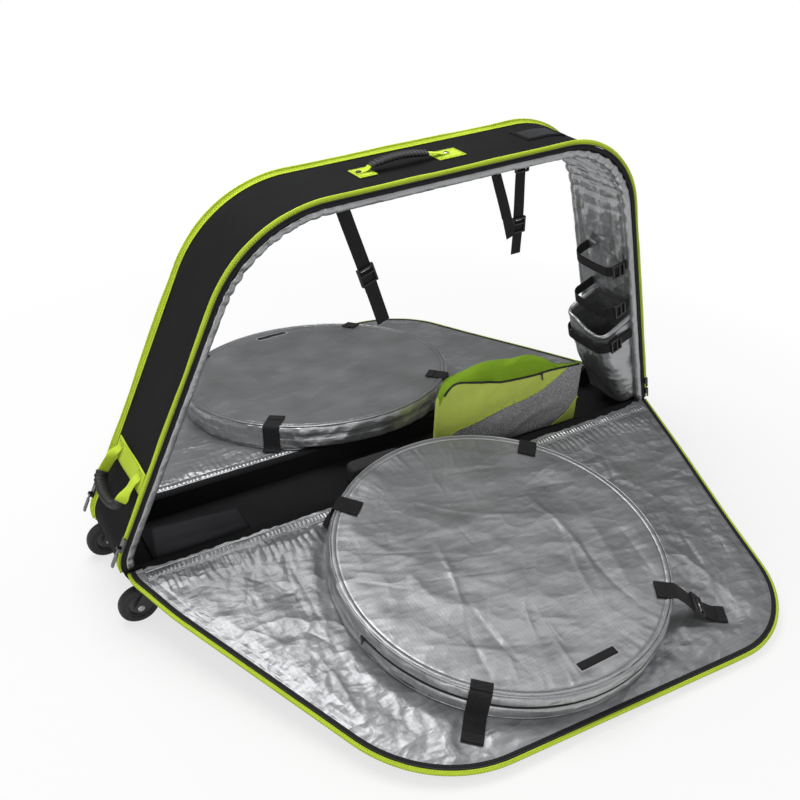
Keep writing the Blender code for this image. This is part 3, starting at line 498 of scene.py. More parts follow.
def lattice(name, points, finish, body=CASE, wrap=True, cap=True):
    """A grid of quads through an array of points, with its real lengths as UVs.

    wrap joins each row into a loop. cap closes the first and last loop.
    """
    rows, columns = points.shape[:2]
    span = columns if wrap else columns - 1
    index = np.arange(rows * columns).reshape(rows, columns)
    i, j = np.meshgrid(np.arange(rows - 1), np.arange(span), indexing="ij")
    k = (j + 1) % columns
    faces = np.stack([index[i, j], index[i, k], index[i + 1, k], index[i + 1, j]], -1)
    faces = faces.reshape(-1, 4).tolist()
    if cap:
        faces += [index[0].tolist(), index[-1].tolist()]
    mesh = bpy.data.meshes.new(name)
    mesh.from_pydata(points.reshape(-1, 3).tolist(), [], faces)
    middle_row = points[rows // 2]
    if wrap:
        middle_row = np.concatenate([middle_row, middle_row[:1]])
    across = running(middle_row)
    along = running(points[:, columns // 3])
    corners = np.stack([np.stack([across[j + a], along[i + b]], -1)
                        for a, b in ((0, 0), (1, 0), (1, 1), (0, 1))], 2).reshape(-1, 2)
    layer = mesh.uv_layers.new(name="UVMap")
    flat = np.zeros((len(layer.data), 2))
    flat[:len(corners)] = corners
    layer.data.foreach_set("uv", flat.ravel())
    if wrap and cap:
        clean_mesh(mesh)
    return piece(name, mesh, finish, body)


def sheet(name, points, finish, body, thickness, offset=-1):
    """An open grid of quads with a thickness."""
    made = lattice(name, points, finish, body, wrap=False, cap=False)
    change = made.modifiers.new("thickness", "SOLIDIFY")
    change.thickness = thickness
    change.offset = offset
    return made


def catmull(points, count):
    """A smooth curve through points, with evenly spaced samples."""
    points = np.array(points, float)
    padded = np.concatenate([2 * points[:1] - points[1:2], points, 2 * points[-1:] - points[-2:-1]])
    fine = []
    for a, b, c, d in zip(padded, padded[1:], padded[2:], padded[3:]):
        for t in np.linspace(0, 1, 12, endpoint=False):
            fine.append(0.5 * (2 * b + (c - a) * t + (2 * a - 5 * b + 4 * c - d) * t * t
                               + (3 * b - a - 3 * c + d) * t ** 3))
    fine = np.array(fine + [points[-1]])
    reach = running(fine)
    wanted = np.linspace(0, reach[-1], count)
    return np.stack([np.interp(wanted, reach, fine[:, k]) for k in range(fine.shape[1])], -1)


def dotted(corners, count, endpoint=False):
    """Points on the straight lines between corners, as many as count on each line."""
    return np.concatenate([np.linspace(p, q, count, endpoint=endpoint)
                           for p, q in zip(corners, corners[1:])])


def rectangle(x0, x1, y0, y1):
    return [(x0, y0), (x1, y0), (x1, y1), (x0, y1), (x0, y0)]


def unit(vectors):
    return vectors / np.maximum(np.linalg.norm(vectors, axis=-1, keepdims=True), 1e-12)


def round_angles(count):
    return np.linspace(0, 2 * pi, count, endpoint=False)


def tube(name, path, radius, finish, body=CASE, segments=8, closed=False):
    """A round cord along a path. radius is one number or one for each point."""
    path = np.array(path, float)
    ahead, behind = np.roll(path, -1, 0), np.roll(path, 1, 0)
    if not closed:
        ahead[-1], behind[0] = path[-1], path[0]
    runs = unit(ahead - behind)
    side = np.cross(runs[0], (0.31, 0.22, 0.92))
    sides = []
    for run in runs:
        side = side - run * (side @ run)
        side = side / np.linalg.norm(side)
        sides.append(side)
    sides = np.array(sides)
    others = np.cross(runs, sides)
    angles = round_angles(segments)[None, :, None]
    radius = np.broadcast_to(radius, len(path))[:, None, None]
    rings = path[:, None] + radius * (np.cos(angles) * sides[:, None] + np.sin(angles) * others[:, None])
    if not closed:
        return lattice(name, rings, finish, body)
    made = lattice(name, np.concatenate([rings, rings[:1]]), finish, body, cap=False)
    clean_mesh(made.data, merge=True)
    return made


def swept(name, path, across, section, finish, body):
    """A section of (across, up) pairs carried along a path. It may differ from point to point."""
    path = np.array(path, float)
    runs = unit(np.gradient(path, axis=0))
    across = np.broadcast_to(np.array(across, float), path.shape)
    across = unit(across - runs * np.sum(across * runs, 1)[:, None])
    wide, high = np.moveaxis(np.array(section, float), -1, 0)[..., None]
    rings = path[:, None] + across[:, None] * wide + np.cross(across, runs)[:, None] * high
    return lattice(name, rings, finish, body)


def ribbon(name, path, across, width, thickness, finish, body=CASE):
    """Flat webbing along a path. across is the direction of its width, one or one for each point."""
    half, rise = width / 2, thickness / 2
    section = [(-half, 0), (-half + 0.0004, rise * 0.8), (-half + 0.002, rise), (0, rise * 0.92),
               (half - 0.002, rise), (half - 0.0004, rise * 0.8), (half, 0)]
    section += [(a, -b) for a, b in section[-2:0:-1]]
    return swept(name, path, across, section, finish, body)


def sleeve(name, path, across, half_width, half_thickness, finish, body, segments=20):
    """A soft oval sleeve along a path. Its half sizes have one number for each point."""
    angles = round_angles(segments)[None]
    section = np.stack([half_width[:, None] * np.cos(angles), half_thickness[:, None] * np.sin(angles)], -1)
    return swept(name, path, across, section, finish, body)


def stitching(name, path, body=CASE, finish="dark_thread", pitch=0.0055, length=0.0036, radius=0.0004):
    """A row of thread stitches along a path, each a small closed bead."""
    path = np.array(path, float)
    reach = running(path)
    places = np.arange(pitch / 2, reach[-1], pitch)

    def along(values):
        return np.stack([np.interp(values, reach, path[:, k]) for k in range(3)], -1)

    centres = along(places)
    runs = unit(along(places + pitch / 4) - along(places - pitch / 4))
    sides = unit(np.cross(runs, (0.2, 0.3, 0.93)))
    others = np.cross(runs, sides)
    rings = [centres + runs * length * share + radius * size * (cos(a) * sides + sin(a) * others)
             for share, size in ((-0.5, 0.35), (-0.3, 1.0), (0.3, 1.0), (0.5, 0.35))
             for a in round_angles(5)]
    vertices = np.stack(rings, 1).reshape(-1, 3)
    bead = [(5 * ring + k, 5 * ring + (k + 1) % 5, 5 * ring + (k + 1) % 5 + 5, 5 * ring + k + 5)
            for ring in range(3) for k in range(5)]
    bead += [(4, 3, 2, 1, 0), (15, 16, 17, 18, 19)]
    mesh = bpy.data.meshes.new(name)
    mesh.from_pydata(vertices.tolist(), [], [[start + k for k in face]
                                             for start in range(0, len(vertices), 20) for face in bead])
    return piece(name, mesh, finish, body)


def blocks(name, boxes, axes, origin, finish, body=CASE, bevel=0.0008):
    """Bevelled bars in one mesh. Each box is (centre, size) along three axes from an origin."""
    bm = bmesh.new()
    for centre, size in boxes:
        part = bmesh.ops.create_cube(bm, size=1.0)["verts"]
        bmesh.ops.scale(bm, vec=size, verts=part)
        bmesh.ops.translate(bm, vec=centre, verts=part)
    bmesh.ops.bevel(bm, geom=bm.edges[:], offset=bevel, segments=2, affect="EDGES", profile=0.6)
    turn = Matrix([list(a) for a in axes]).transposed().to_4x4()
    bmesh.ops.transform(bm, matrix=Matrix.Translation(Vector(origin)) @ turn, verts=bm.verts[:])
    return piece(name, bm, finish, body)


def dome(name, centre, axis, radius, height, finish):
    """A rivet head: a low dome with a rolled edge."""
    axis = unit(np.array(axis, float))
    first = unit(np.cross(axis, (0.3, 0.9, 0.2)))
    second = np.cross(axis, first)
    profile = ((1.0, 0.0), (1.0, 0.35), (0.9, 0.6), (0.6, 0.85), (0.3, 0.97), (0.02, 1.0))
    rings = np.array([[centre + radius * r * (cos(a) * first + sin(a) * second) + axis * height * h
                       for a in round_angles(20)] for r, h in profile])
    return lattice(name, rings, finish)


def strap_buckle(name, centre, along, across, width, body=CASE, length=0.030):
    """A moulded strap adjuster: two rails and three cross bars."""
    along, across = unit(np.array(along, float)), unit(np.array(across, float))
    rail = 0.0045
    half = width / 2 + rail / 2
    boxes = [((s * half, 0, 0), (rail, length, 0.0065)) for s in (-1, 1)]
    for share, thick in ((-0.44, 0.0075), (-0.08, 0.006), (0.44, 0.0055)):
        boxes.append(((0, share * length, 0.0012), (width + rail, 0.0042, thick)))
    return blocks(name, boxes, (across, along, np.cross(across, along)), centre, "plastic", body)


def band(name, line, section, place, finish, body=CASE):
    """A closed profile of (inset, across) pairs carried along an outline."""
    insets, acrosses = np.moveaxis(np.array(section), -1, 0)
    flat = line.at(insets)
    return lattice(name, place(flat[..., 0], flat[..., 1], acrosses), finish, body)


def pairs(first, second):
    """Two arrays as one array of pairs."""
    return np.stack(np.broadcast_arrays(first, second), -1)


def thread_line(line, inset, across, place):
    flat = line.at(np.array([inset]))[:, 0]
    return place(flat[:, 0], flat[:, 1], across)


def coil(name, line, inset, across, place, body=CASE):
    """The zip's teeth as a beaded cord."""
    path = thread_line(line, inset, across, place)
    return tube(name, path, 0.0010 * np.where(np.arange(len(path)) % 2, 1.0, 0.72), "teeth", body, 6)


# The ring

PLEAT = 0.031  # pitch of the lining's pleats round the corners


def make_ring():
    line = arch(0.0, 560)
    s = line.lengths[:, None]
    outer_y = np.linspace(-HALF_WIDTH, HALF_WIDTH, 31)
    dip = 0.0009 + 0.0009 * soft_noise(s / 0.07, outer_y[None] / 0.06 + 9, 3)
    dip += 0.0022 * ramp(HALF_WIDTH - 0.003, HALF_WIDTH, np.abs(outer_y))[None]
    inner_y = np.linspace(HALF_WIDTH - 0.0006, -HALF_WIDTH + 0.0006, 9)
    insets = np.concatenate([dip, np.full((len(s), 9), 0.0124)], 1)
    made = band("ring_cloth", line, pairs(insets, np.concatenate([outer_y, inner_y])), ring_point, "shell")
    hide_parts("gusset_shell", "gusset_foam")
    make_ring_lining(line)
    teeth_line = arch(0.0, 1100)
    for side, name in SIDES:
        y = side * (HALF_WIDTH + 0.0003)
        out = side * (HALF_WIDTH + 0.0012)
        section = [(0.0010, y), (0.0010, out), (0.0050, out + side * 0.0001), (0.0084, out),
                   (0.0092, y + side * 0.0007), (0.0092, y)]
        tape = band(name + "_ring_zip_tape", line, section, ring_point, "tape")
        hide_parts(name + "_gusset_zip")
        coil(name + "_ring_zip_teeth", teeth_line, -0.0004, side * 0.0964, ring_point)
        make_ring_flap(side, name, line)
        stitching(name + "_ring_tape_stitching", thread_line(line, 0.0064, out + side * 0.0002, ring_point))


def make_ring_flap(side, name, line):
    """The lime flap that covers the zip. It is open and stands out from the ring's edge."""
    section = [(-0.0003, 0.0950), (-0.0040, 0.0956), (-0.0085, 0.0962), (-0.0128, 0.0960),
               (-0.0148, 0.0950), (-0.0150, 0.0936), (-0.0134, 0.0929), (-0.0100, 0.0934),
               (-0.0068, 0.0930), (-0.0052, 0.0918), (-0.0040, 0.0898), (-0.0030, 0.0888),
               (-0.0042, 0.0875), (-0.0040, 0.0856), (-0.0028, 0.0836), (-0.0012, 0.0828),
               (-0.0003, 0.0828)]
    insets, ys = np.array(section).T
    s = line.lengths[:, None]
    standing = ramp(0.004, 0.014, -insets)[None]
    end = ramp(0.0, 0.03, s) * ramp(0.0, 0.03, s[-1] - s)
    ripple = 0.0010 * soft_noise(s / 0.06, insets[None] * 0, 41 + side)
    sway = 0.0008 * soft_noise(s / 0.09, insets[None] * 0, 43 + side)
    tall = 0.64 if side < 0 else 0.5
    insets = insets[None] * (0.35 + (tall - 0.35) * end) + standing * ripple * end
    trim = band(name + "_ring_trim", line, pairs(insets, side * (ys[None] + standing * sway * end)),
                ring_point, "lime")
    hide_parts(name + "_gusset_trim")
    for inset, across in ((-0.0066, 0.0964), (-0.0046, 0.0866)):
        stitching(f"{name}_ring_trim_stitching_{round(across * 1e4)}",
                  thread_line(line, inset * tall, side * across, ring_point), CASE, "lime_thread",
                  radius=0.0006)


def make_ring_lining(line):
    """Silver lining with a padded rim along each edge, gathered into pleats round the corners."""
    half = [(0.0955, 0.0095), (0.0963, 0.0116), (0.0965, 0.0162), (0.0957, 0.0208),
            (0.0930, 0.0240), (0.0885, 0.0254), (0.0835, 0.0244), (0.0785, 0.0208),
            (0.0700, 0.0182), (0.0550, 0.0168), (0.0380, 0.0163), (0.0200, 0.0161)]
    half = catmull(half, 34)
    mirrored = half[::-1] * np.array((-1, 1))
    face = np.concatenate([half, [(0.0, 0.0160)], mirrored])
    y, inset = face.T
    s = line.lengths[:, None]
    v = line.points[:, 1][:, None]
    turn = np.abs(np.gradient(np.arctan2(line.normals[:, 1], line.normals[:, 0]), line.lengths))
    gather = np.convolve(turn > 2.0, np.ones(35) / 35, mode="same")[:, None]
    high_side = ramp(0.8, 1.0, line.points[:, 0])[:, None]
    rim = ramp(0.074, 0.084, np.abs(y))[None]
    pocket = ramp(0.26, 0.32, v) * high_side + (1 - high_side)
    pillows = pleats(s, y[None], PLEAT, 0.08, 21) * (0.12 + 0.88 * gather)
    pillows = pillows + 0.8 * pleats(y[None], s, 0.052, 0.16, 23) * (1 - gather)
    creases = np.clip(foil(s, y[None], 0.060, 0.06, 31) + 0.001, 0, 0.004)
    box = (0.0, line.lengths[-1], -0.07, 0.07)
    creases += crease_lines(s, y[None], box, 90, 0.0016, 0.0035, 0.05, 0.5, 1.6, 37) + 0.0008
    free = (0.0022 + 0.0050 * gather + 0.0034 * high_side) * pocket
    depth = np.maximum(free * pillows + creases * pocket, 0)
    ripple = 0.0005 * folds(s, y[None], pi / 2, 0.2, 0.022, 5)
    insets = inset[None] + depth * (1 - rim) + rim * (ripple + 0.35 * depth * gather)
    # The rim's face is drawn in between the pleats
    drawn = ramp(0.083, 0.090, np.abs(y)) * ramp(0.0100, 0.0130, inset)
    valleys = 1 - pleats(s, 0 * y[None], PLEAT, 0.08, 21)
    ys = y[None] - np.sign(y) * drawn * (0.0008 + 0.0062 * gather) * valleys
    back_y = np.broadcast_to(np.linspace(-0.0945, 0.0945, 7)[1:-1], (len(s), 5))
    insets = np.concatenate([insets, np.full((len(s), 5), 0.0127)], 1)
    made = band("ring_lining", line, pairs(insets, np.concatenate([ys, back_y], 1)), ring_point, "silver")
    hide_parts("gusset_lining")


# Side panels

def ruled(line, foot_in, shares):
    """Plane points between the hinge edge and an outline: (along, shares, 2)."""
    outline = line.at(np.array([foot_in]))[:, 0]
    share = (line.lengths / line.lengths[-1])[:, None]
    base = outline[:1] + (outline[-1:] - outline[:1]) * share
    return base[:, None] + (outline - base)[:, None] * np.array(shares)[None, :, None]


def edge_distance(line, u, v):
    """Distance of plane points from the outline, and the running length of the nearest place."""
    flat = np.stack([u.ravel(), v.ravel()], -1)
    outline = line.at(np.array([0.0]))[::2, 0]
    nearest = np.zeros(len(flat))
    place = np.zeros(len(flat))
    for start in range(0, len(flat), 4000):
        gaps = np.linalg.norm(flat[start:start + 4000, None] - outline[None], axis=2)
        nearest[start:start + 4000] = gaps.min(1)
        place[start:start + 4000] = line.lengths[::2][gaps.argmin(1)]
    return nearest.reshape(u.shape), place.reshape(u.shape)


# Each strap runs from a point on top of the bag to a point on the panel, as (u, v)
BAG_STRAPS = (
    ("hinge_left", (0.476, 0.095), (0.428, 0.041)),
    ("hinge_right", (0.898, 0.102), (0.943, 0.053)),
    ("outer_left", (0.468, 0.545), (0.414, 0.608)),
    ("outer_right", (0.893, 0.527), (1.031, 0.610)),
)


def strap_distance(u, v):
    """Distance of panel points from the nearest strap's centre line."""
    nearest = np.full(u.shape, 9.0)
    for _, start, end in BAG_STRAPS:
        start, end = np.array(start), np.array(end)
        run = end - start
        share = np.clip(((u - start[0]) * run[0] + (v - start[1]) * run[1]) / (run @ run), 0, 1)
        nearest = np.minimum(nearest, np.hypot(u - start[0] - share * run[0],
                                               v - start[1] - share * run[1]))
    return nearest


def panel_line(count):
    """The panel's outline. A panel that lies open draws in a little, most at its corners."""
    line = arch(PANEL_START, count)
    u, v = line.points.T
    low_corner = (1 - ramp(0.02, 0.16, v)) * (u < BASE_LENGTH / 2)
    far_corner = ramp(0.95, 1.20, u) * ramp(0.15, 0.45, v)
    line.draw = 0.004 + 0.009 * low_corner + 0.006 * far_corner
    return line


def make_panel(side, name):
    body = name + "_panel"
    line = panel_line(420)
    place = partial(panel_point, side)
    shares = np.linspace(0, 1, 40)
    down = ruled(line, 0.0, shares)
    flat = np.concatenate([down, down[:, ::-1]], 1)
    quilt = 0.0022 * puffs(down[..., 0], down[..., 1], 0.5, 0.3, 0.15, 61)
    quilt = quilt * np.sin(pi * shares)[None]
    low = -PANEL_THICKNESS + 0.0045 * (shares ** 34)[None] + quilt
    high = np.full(down.shape[:2], -0.0046)
    cloth = lattice(name + "_panel_cloth", place(flat[..., 0], flat[..., 1],
                                                 np.concatenate([low, high], 1)),
                    "shell", body)
    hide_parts(name + "_panel_shell", name + "_panel_foam")
    make_panel_lining(side, name, line)
    section = [(0.0008, -0.0046), (0.0008, -0.0017), (0.0012, -0.0006), (0.0045, -0.0003),
               (0.0092, -0.0005), (0.0102, -0.0012), (0.0102, -0.0019), (0.0035, -0.0024),
               (0.0035, -0.0046)]
    tape = band(name + "_panel_zip_tape", line, section, place, "tape", body)
    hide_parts(name + "_panel_zip")
    coil(name + "_panel_zip_teeth", panel_line(1100), 0.0018, -0.0008, place, body)
    section = [(-0.0003, -0.0016), (-0.0024, -0.0010), (-0.0044, -0.0013), (-0.0056, -0.0024),
               (-0.0060, -0.0042), (-0.0052, -0.0056), (-0.0042, -0.0064), (-0.0050, -0.0074),
               (-0.0053, -0.0094), (-0.0047, -0.0113), (-0.0028, -0.0128), (-0.0003, -0.0132)]
    trim = band(name + "_panel_trim_strip", line, section, place, "lime", body)
    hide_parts(name + "_panel_trim")
    for inset, n in ((-0.0032, -0.0010), (-0.0054, -0.0088)):
        stitching(f"{name}_panel_trim_stitching_{round(-n * 1e4)}", thread_line(line, inset, n, place),
                  body, "lime_thread")
    stitching(name + "_panel_tape_stitching", thread_line(line, 0.0068, -0.0003, place), body)
    make_hinge_strip(name, place)
    make_hem(side, name, place)


def make_panel_lining(side, name, line):
    """Crinkled silver lining. It lies flat under the bag, the straps and the zip tape."""
    flat = ruled(line, 0.0036, np.linspace(0, 1, 180))
    u, v = flat[..., 0], flat[..., 1]
    gap, place_along = edge_distance(line, u, v)
    from_bag = np.hypot(u - BAG_CENTRE[0], v - BAG_CENTRE[1]) - BAG_RADIUS
    open_floor = ramp(0.002, 0.02, from_bag) * ramp(0.022, 0.03, strap_distance(u, v))
    free = (ramp(0.012, 0.05, gap) * ramp(0.004, 0.035, from_bag)
            * ramp(0.024, 0.040, strap_distance(u, v)) * ramp(0.040, 0.065, v))
    # The fork straps press on the lining when the case is shut
    strapped = ramp(1.10, 1.16, u) * ramp(0.12, 0.17, v) * ramp(0.44, 0.38, v)
    free *= 1 - 0.9 * strapped
    seed = 100 + side
    swells = puffs(u, v, 1.25, 0.30, 0.11, seed + 11)
    creases = np.clip(foil(u, v, 0.105, 0.034, seed, 1.3, 1.5) + 0.0015, 0, 0.008)
    box = (0.0, BASE_LENGTH, 0.04, 0.72)
    lines = crease_lines(u, v, box, 380, 0.0018, 0.0030, 0.040, 1.2, 1.5, seed + 27)
    lines += crease_lines(u, v, box, 34, 0.0028, 0.0070, 0.110, 1.4, 0.7, seed + 29)
    small = np.clip(foil(u, v, 0.021, 0.064, seed + 23, 1.9) + 0.0005, 0, 0.003)
    height = free * (0.0022 * swells + creases + np.maximum(lines, -0.002))
    height += 0.8 * (1 - 0.8 * strapped) * open_floor * small * ramp(0.010, 0.03, gap)
    puckers = puffs(place_along, gap, pi / 2, 0.06, 0.016, seed + 31)
    near_edge = ramp(0.0105, 0.016, gap) * (1 - ramp(0.035, 0.09, gap))
    near_hem = ramp(0.038, 0.044, v) * (1 - ramp(0.06, 0.11, v))
    hem_puckers = pleats(u, v, 0.016, 0.06, seed + 41)
    height += 0.0016 * puckers * near_edge * open_floor
    height += 0.0022 * hem_puckers * near_hem * open_floor * ramp(0.0110, 0.021, gap)
    # Beside the tape it stays low, so that the ring's rim can close on it
    height = np.minimum(height, 0.0014 + 0.35 * np.maximum(gap - 0.026, 0))
    top = -0.0022 + np.maximum(height, 0)
    made = sheet(name + "_panel_lining_cloth", panel_point(side, u, v, top), "silver_panel",
                 name + "_panel", 0.0012, -side)
    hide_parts(name + "_panel_lining")


def make_hinge_strip(name, place):
    """The black cloth that bends where a panel meets the base."""
    u = np.linspace(0.050, BASE_LENGTH - 0.028, 220)
    path = [(-0.0045, -0.0100), (-0.0045, -0.0030), (-0.0030, 0.0004), (0.0, 0.0010), (0.006, 0.0006),
            (0.012, -0.0004), (0.016, -0.0012), (0.020, -0.0020)]
    v, n = catmull(path, 22).T
    made = sheet(name + "_hinge_strip", place(u[:, None], v[None], n[None]), "shell", None, 0.0009)
    tuple(place(0.69, -0.003, 0.0))
    tuple(place(0.69, 0.012, 0.0))
    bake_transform(made)


def make_hem(side, name, place):
    """The lining's gathered hem beside the hinge, sewn down along both edges."""
    u = np.linspace(0.051, BASE_LENGTH - 0.034, 1100)[:, None]
    section = [(0.0165, -0.0012), (0.0160, 0.0006), (0.0180, 0.0016), (0.0200, 0.0009), (0.0235, 0.0022),
               (0.0290, 0.0026), (0.0345, 0.0021), (0.0375, 0.0008), (0.0395, 0.0014), (0.0415, 0.0004),
               (0.0410, -0.0012)]
    v, n = catmull(section, 34).T
    bulge = ramp(0.0195, 0.024, v) * (1 - ramp(0.033, 0.038, v))
    ruffles = pleats(u, v[None] * 0.6, 0.0088, 0.03, 301 + side) - 0.6
    from_bag = np.hypot(u - BAG_CENTRE[0], v[None] - BAG_CENTRE[1]) - BAG_RADIUS
    open_floor = ramp(-0.004, 0.010, from_bag) * (n > 0)[None]
    n = n[None] + 0.0022 * ruffles * bulge[None] * (n > 0)[None]
    n = -0.0020 + (n + 0.0020) * open_floor
    v = v[None] + 0.0005 * soft_noise(u / 0.02, u * 0, 311)
    lattice(name + "_lining_hem", place(u, v, n), "silver", name + "_panel")
    for v_line in (0.0200, 0.0375):
        line_u = u[:, 0]
        clear = np.hypot(line_u - BAG_CENTRE[0], v_line - BAG_CENTRE[1]) > BAG_RADIUS + 0.004
        for part, keep in (("low", line_u < BAG_CENTRE[0]), ("high", line_u > BAG_CENTRE[0])):
            path = place(line_u[clear & keep], v_line, 0.0014)
            stitching(f"{name}_hem_stitching_{part}_{round(v_line * 1e4)}", path, name + "_panel",
                      "silver_thread", 0.005, 0.0034, 0.0003)


# Wheel bags

BAG_TOP = 0.0588
BAG_SEED = 200
BAG_EDGE = 0.3478  # radius at which the straps bend down
ZIP_HEIGHT = 0.0335
ZIP_START, ZIP_END = radians(-8), radians(172)  # the bag's zip runs round its outer side
PATCH = (0.642, 0.728, 0.590, 0.606)  # u and v of its sides


def bag_lift(x, y, seed):
    """Height of the waves on a wheel bag's top, around its centre."""
    radius = np.hypot(x, y)
    angle = np.arctan2(y, x)
    edge = BAG_RADIUS - radius
    waves = 0.0017 * folds(x, y, 0.30, 0.60, 0.12, seed)
    waves += 0.0010 * folds(x, y, 1.75, 0.40, 0.09, seed + 5) * ramp(-0.15, 0.15, y)
    waves += 0.0010 * folds(x, y, 0.9, 0.30, 0.07, seed + 6) * ramp(0.05, -0.2, x)
    box = (-BAG_RADIUS, BAG_RADIUS, -BAG_RADIUS, BAG_RADIUS)
    creases = crease_lines(x, y, box, 44, 0.0012, 0.0045, 0.09, 0.25, 0.35, seed + 9)
    creases += crease_lines(x, y, (-0.20, 0.30, 0.0, 0.3), 14, 0.0020, 0.0060, 0.08, 1.75, 0.4, seed + 10)
    creases += crease_lines(x, y, box, 110, 0.0007, 0.0026, 0.030, 1.2, 1.6, seed + 11)
    inner = ramp(0.018, 0.06, edge)
    rim_folds = folds(angle * BAG_RADIUS, radius, pi / 2, 0.10, 0.019, seed + 13)
    rim = 0.6 * np.exp(-edge / 0.028) * ramp(0.010, 0.022, edge)
    seam = -0.0012 * np.exp(-((edge - 0.0165) / 0.0014) ** 2)
    roll = 0.0009 * np.exp(-((edge - 0.0105) / 0.0045) ** 2)
    dish = -0.0030 * ramp(0.02, 0.14, edge)
    return dish + (waves + creases) * inner + 0.0018 * rim_folds * rim + seam + roll


def make_wheel_bag(side, name):
    body = name + "_wheel_bag"
    top_r = np.concatenate([np.linspace(0.004, 0.30, 74), np.linspace(0.3035, 0.3375, 24)])
    side_profile = catmull([(0.3400, 0.0572), (0.3440, 0.0545), (0.3458, 0.0480), (0.3462, 0.0405),
                            (0.3455, 0.0374), (0.3455, 0.0296), (0.3462, 0.0265), (0.3464, 0.0180),
                            (0.3456, 0.0090), (0.3425, 0.0028), (0.3380, -0.0008)], 44)
    under = np.array([(0.30, -0.0014), (0.15, -0.0014), (0.004, -0.0014)])
    top = np.stack([top_r, np.full(len(top_r), BAG_TOP)], -1)
    profile = np.concatenate([top, [(0.3385, BAG_TOP - 0.0016)], side_profile, under])
    radius, height = profile[:, 0][:, None], profile[:, 1][:, None]
    angles = round_angles(560)[None]
    rank = np.arange(len(profile))[:, None]
    on_top = rank < len(top_r)
    on_side = (rank >= len(top_r)) & (rank < len(profile) - len(under))
    seed = BAG_SEED + side
    lift = bag_lift(radius * np.cos(angles), radius * np.sin(angles), seed)
    n = height + np.where(on_top, lift, 0)
    around = angles * BAG_RADIUS
    wobble = 0.0014 * folds(around, height, pi / 2, 0.05, 0.040, seed + 17)
    wobble += foil(around, height, 0.03, 0.09, seed + 19)
    zip_flat = ramp(0.0, 0.006, np.abs(height - ZIP_HEIGHT) - 0.004)
    has_zip = ramp(ZIP_START - 0.05, ZIP_START, angles) * ramp(ZIP_END + 0.03, ZIP_END, angles)
    groove = -0.0020 * has_zip * (1 - ramp(0.0030, 0.0050, np.abs(height - ZIP_HEIGHT)))
    radius = radius + np.where(on_side, wobble * (1 - has_zip * (1 - zip_flat)) + groove, 0)
    u = BAG_CENTRE[0] + radius * np.cos(angles)
    v = BAG_CENTRE[1] + radius * np.sin(angles)
    over = 1 - ramp(0.010, 0.022, v)
    n = np.maximum(n, -0.0014 + 0.0110 * over)
    made = lattice(body + "_cover", panel_point(side, u, v, n), "silver_smooth", body)
    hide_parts(body)

    def hoop(angles, hoop_radius, hoop_n):
        hoop_v = BAG_CENTRE[1] + hoop_radius * np.sin(angles)
        lifted = np.maximum(hoop_n, 0.0100 * (1 - ramp(0.010, 0.022, hoop_v)))
        return panel_point(side, BAG_CENTRE[0] + hoop_radius * np.cos(angles), hoop_v, lifted)

    ring = round_angles(360)
    for tag, r, h, thick in (("top", 0.3404, BAG_TOP + 0.0002, 0.0019), ("foot", 0.3432, 0.0016, 0.0014)):
        tube(f"{body}_{tag}_piping", hoop(ring, r, h), thick, "silver_smooth", body, closed=True)
    section = [(0.3434, 0.0298), (0.3446, 0.0302), (0.3451, 0.0318), (0.3451, 0.0352),
               (0.3446, 0.0368), (0.3434, 0.0372)]
    zip_run = np.linspace(ZIP_START, ZIP_END, 300)
    loops = np.stack([hoop(zip_run, r, h) for r, h in section], 1)
    tape = lattice(body + "_zip_tape", loops, "tape", body)
    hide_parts(body + "_zip")
    zip_run = np.linspace(ZIP_START + 0.01, ZIP_END - 0.01, 720)
    beads = np.where(np.arange(720) % 2, 0.0009, 0.0006)
    tube(body + "_zip_teeth", hoop(zip_run, 0.3454, ZIP_HEIGHT), beads, "teeth", body, 6)
    at = ZIP_END - 0.015
    outward = (hoop(at, 0.36, 0.03) - hoop(at, 0.34, 0.03)) / 0.02
    along = unit(hoop(at + 0.01, 0.345, 0.03) - hoop(at, 0.345, 0.03))
    blocks(body + "_zip_slider", [((0, 0, 0), (0.010, 0.008, 0.004)),
                                  ((0, -0.010, 0.001), (0.004, 0.014, 0.0016))],
           (along, panel_up(side), outward), hoop(at, 0.3472, ZIP_HEIGHT), "plastic", body, 0.0006)
    stitching(body + "_rim_stitching", hoop(ring, 0.3285, BAG_TOP - 0.0006), body)
    for label, start, end in BAG_STRAPS:
        make_bag_strap(side, body, label, np.array(start), np.array(end))
    make_patch(side, body)


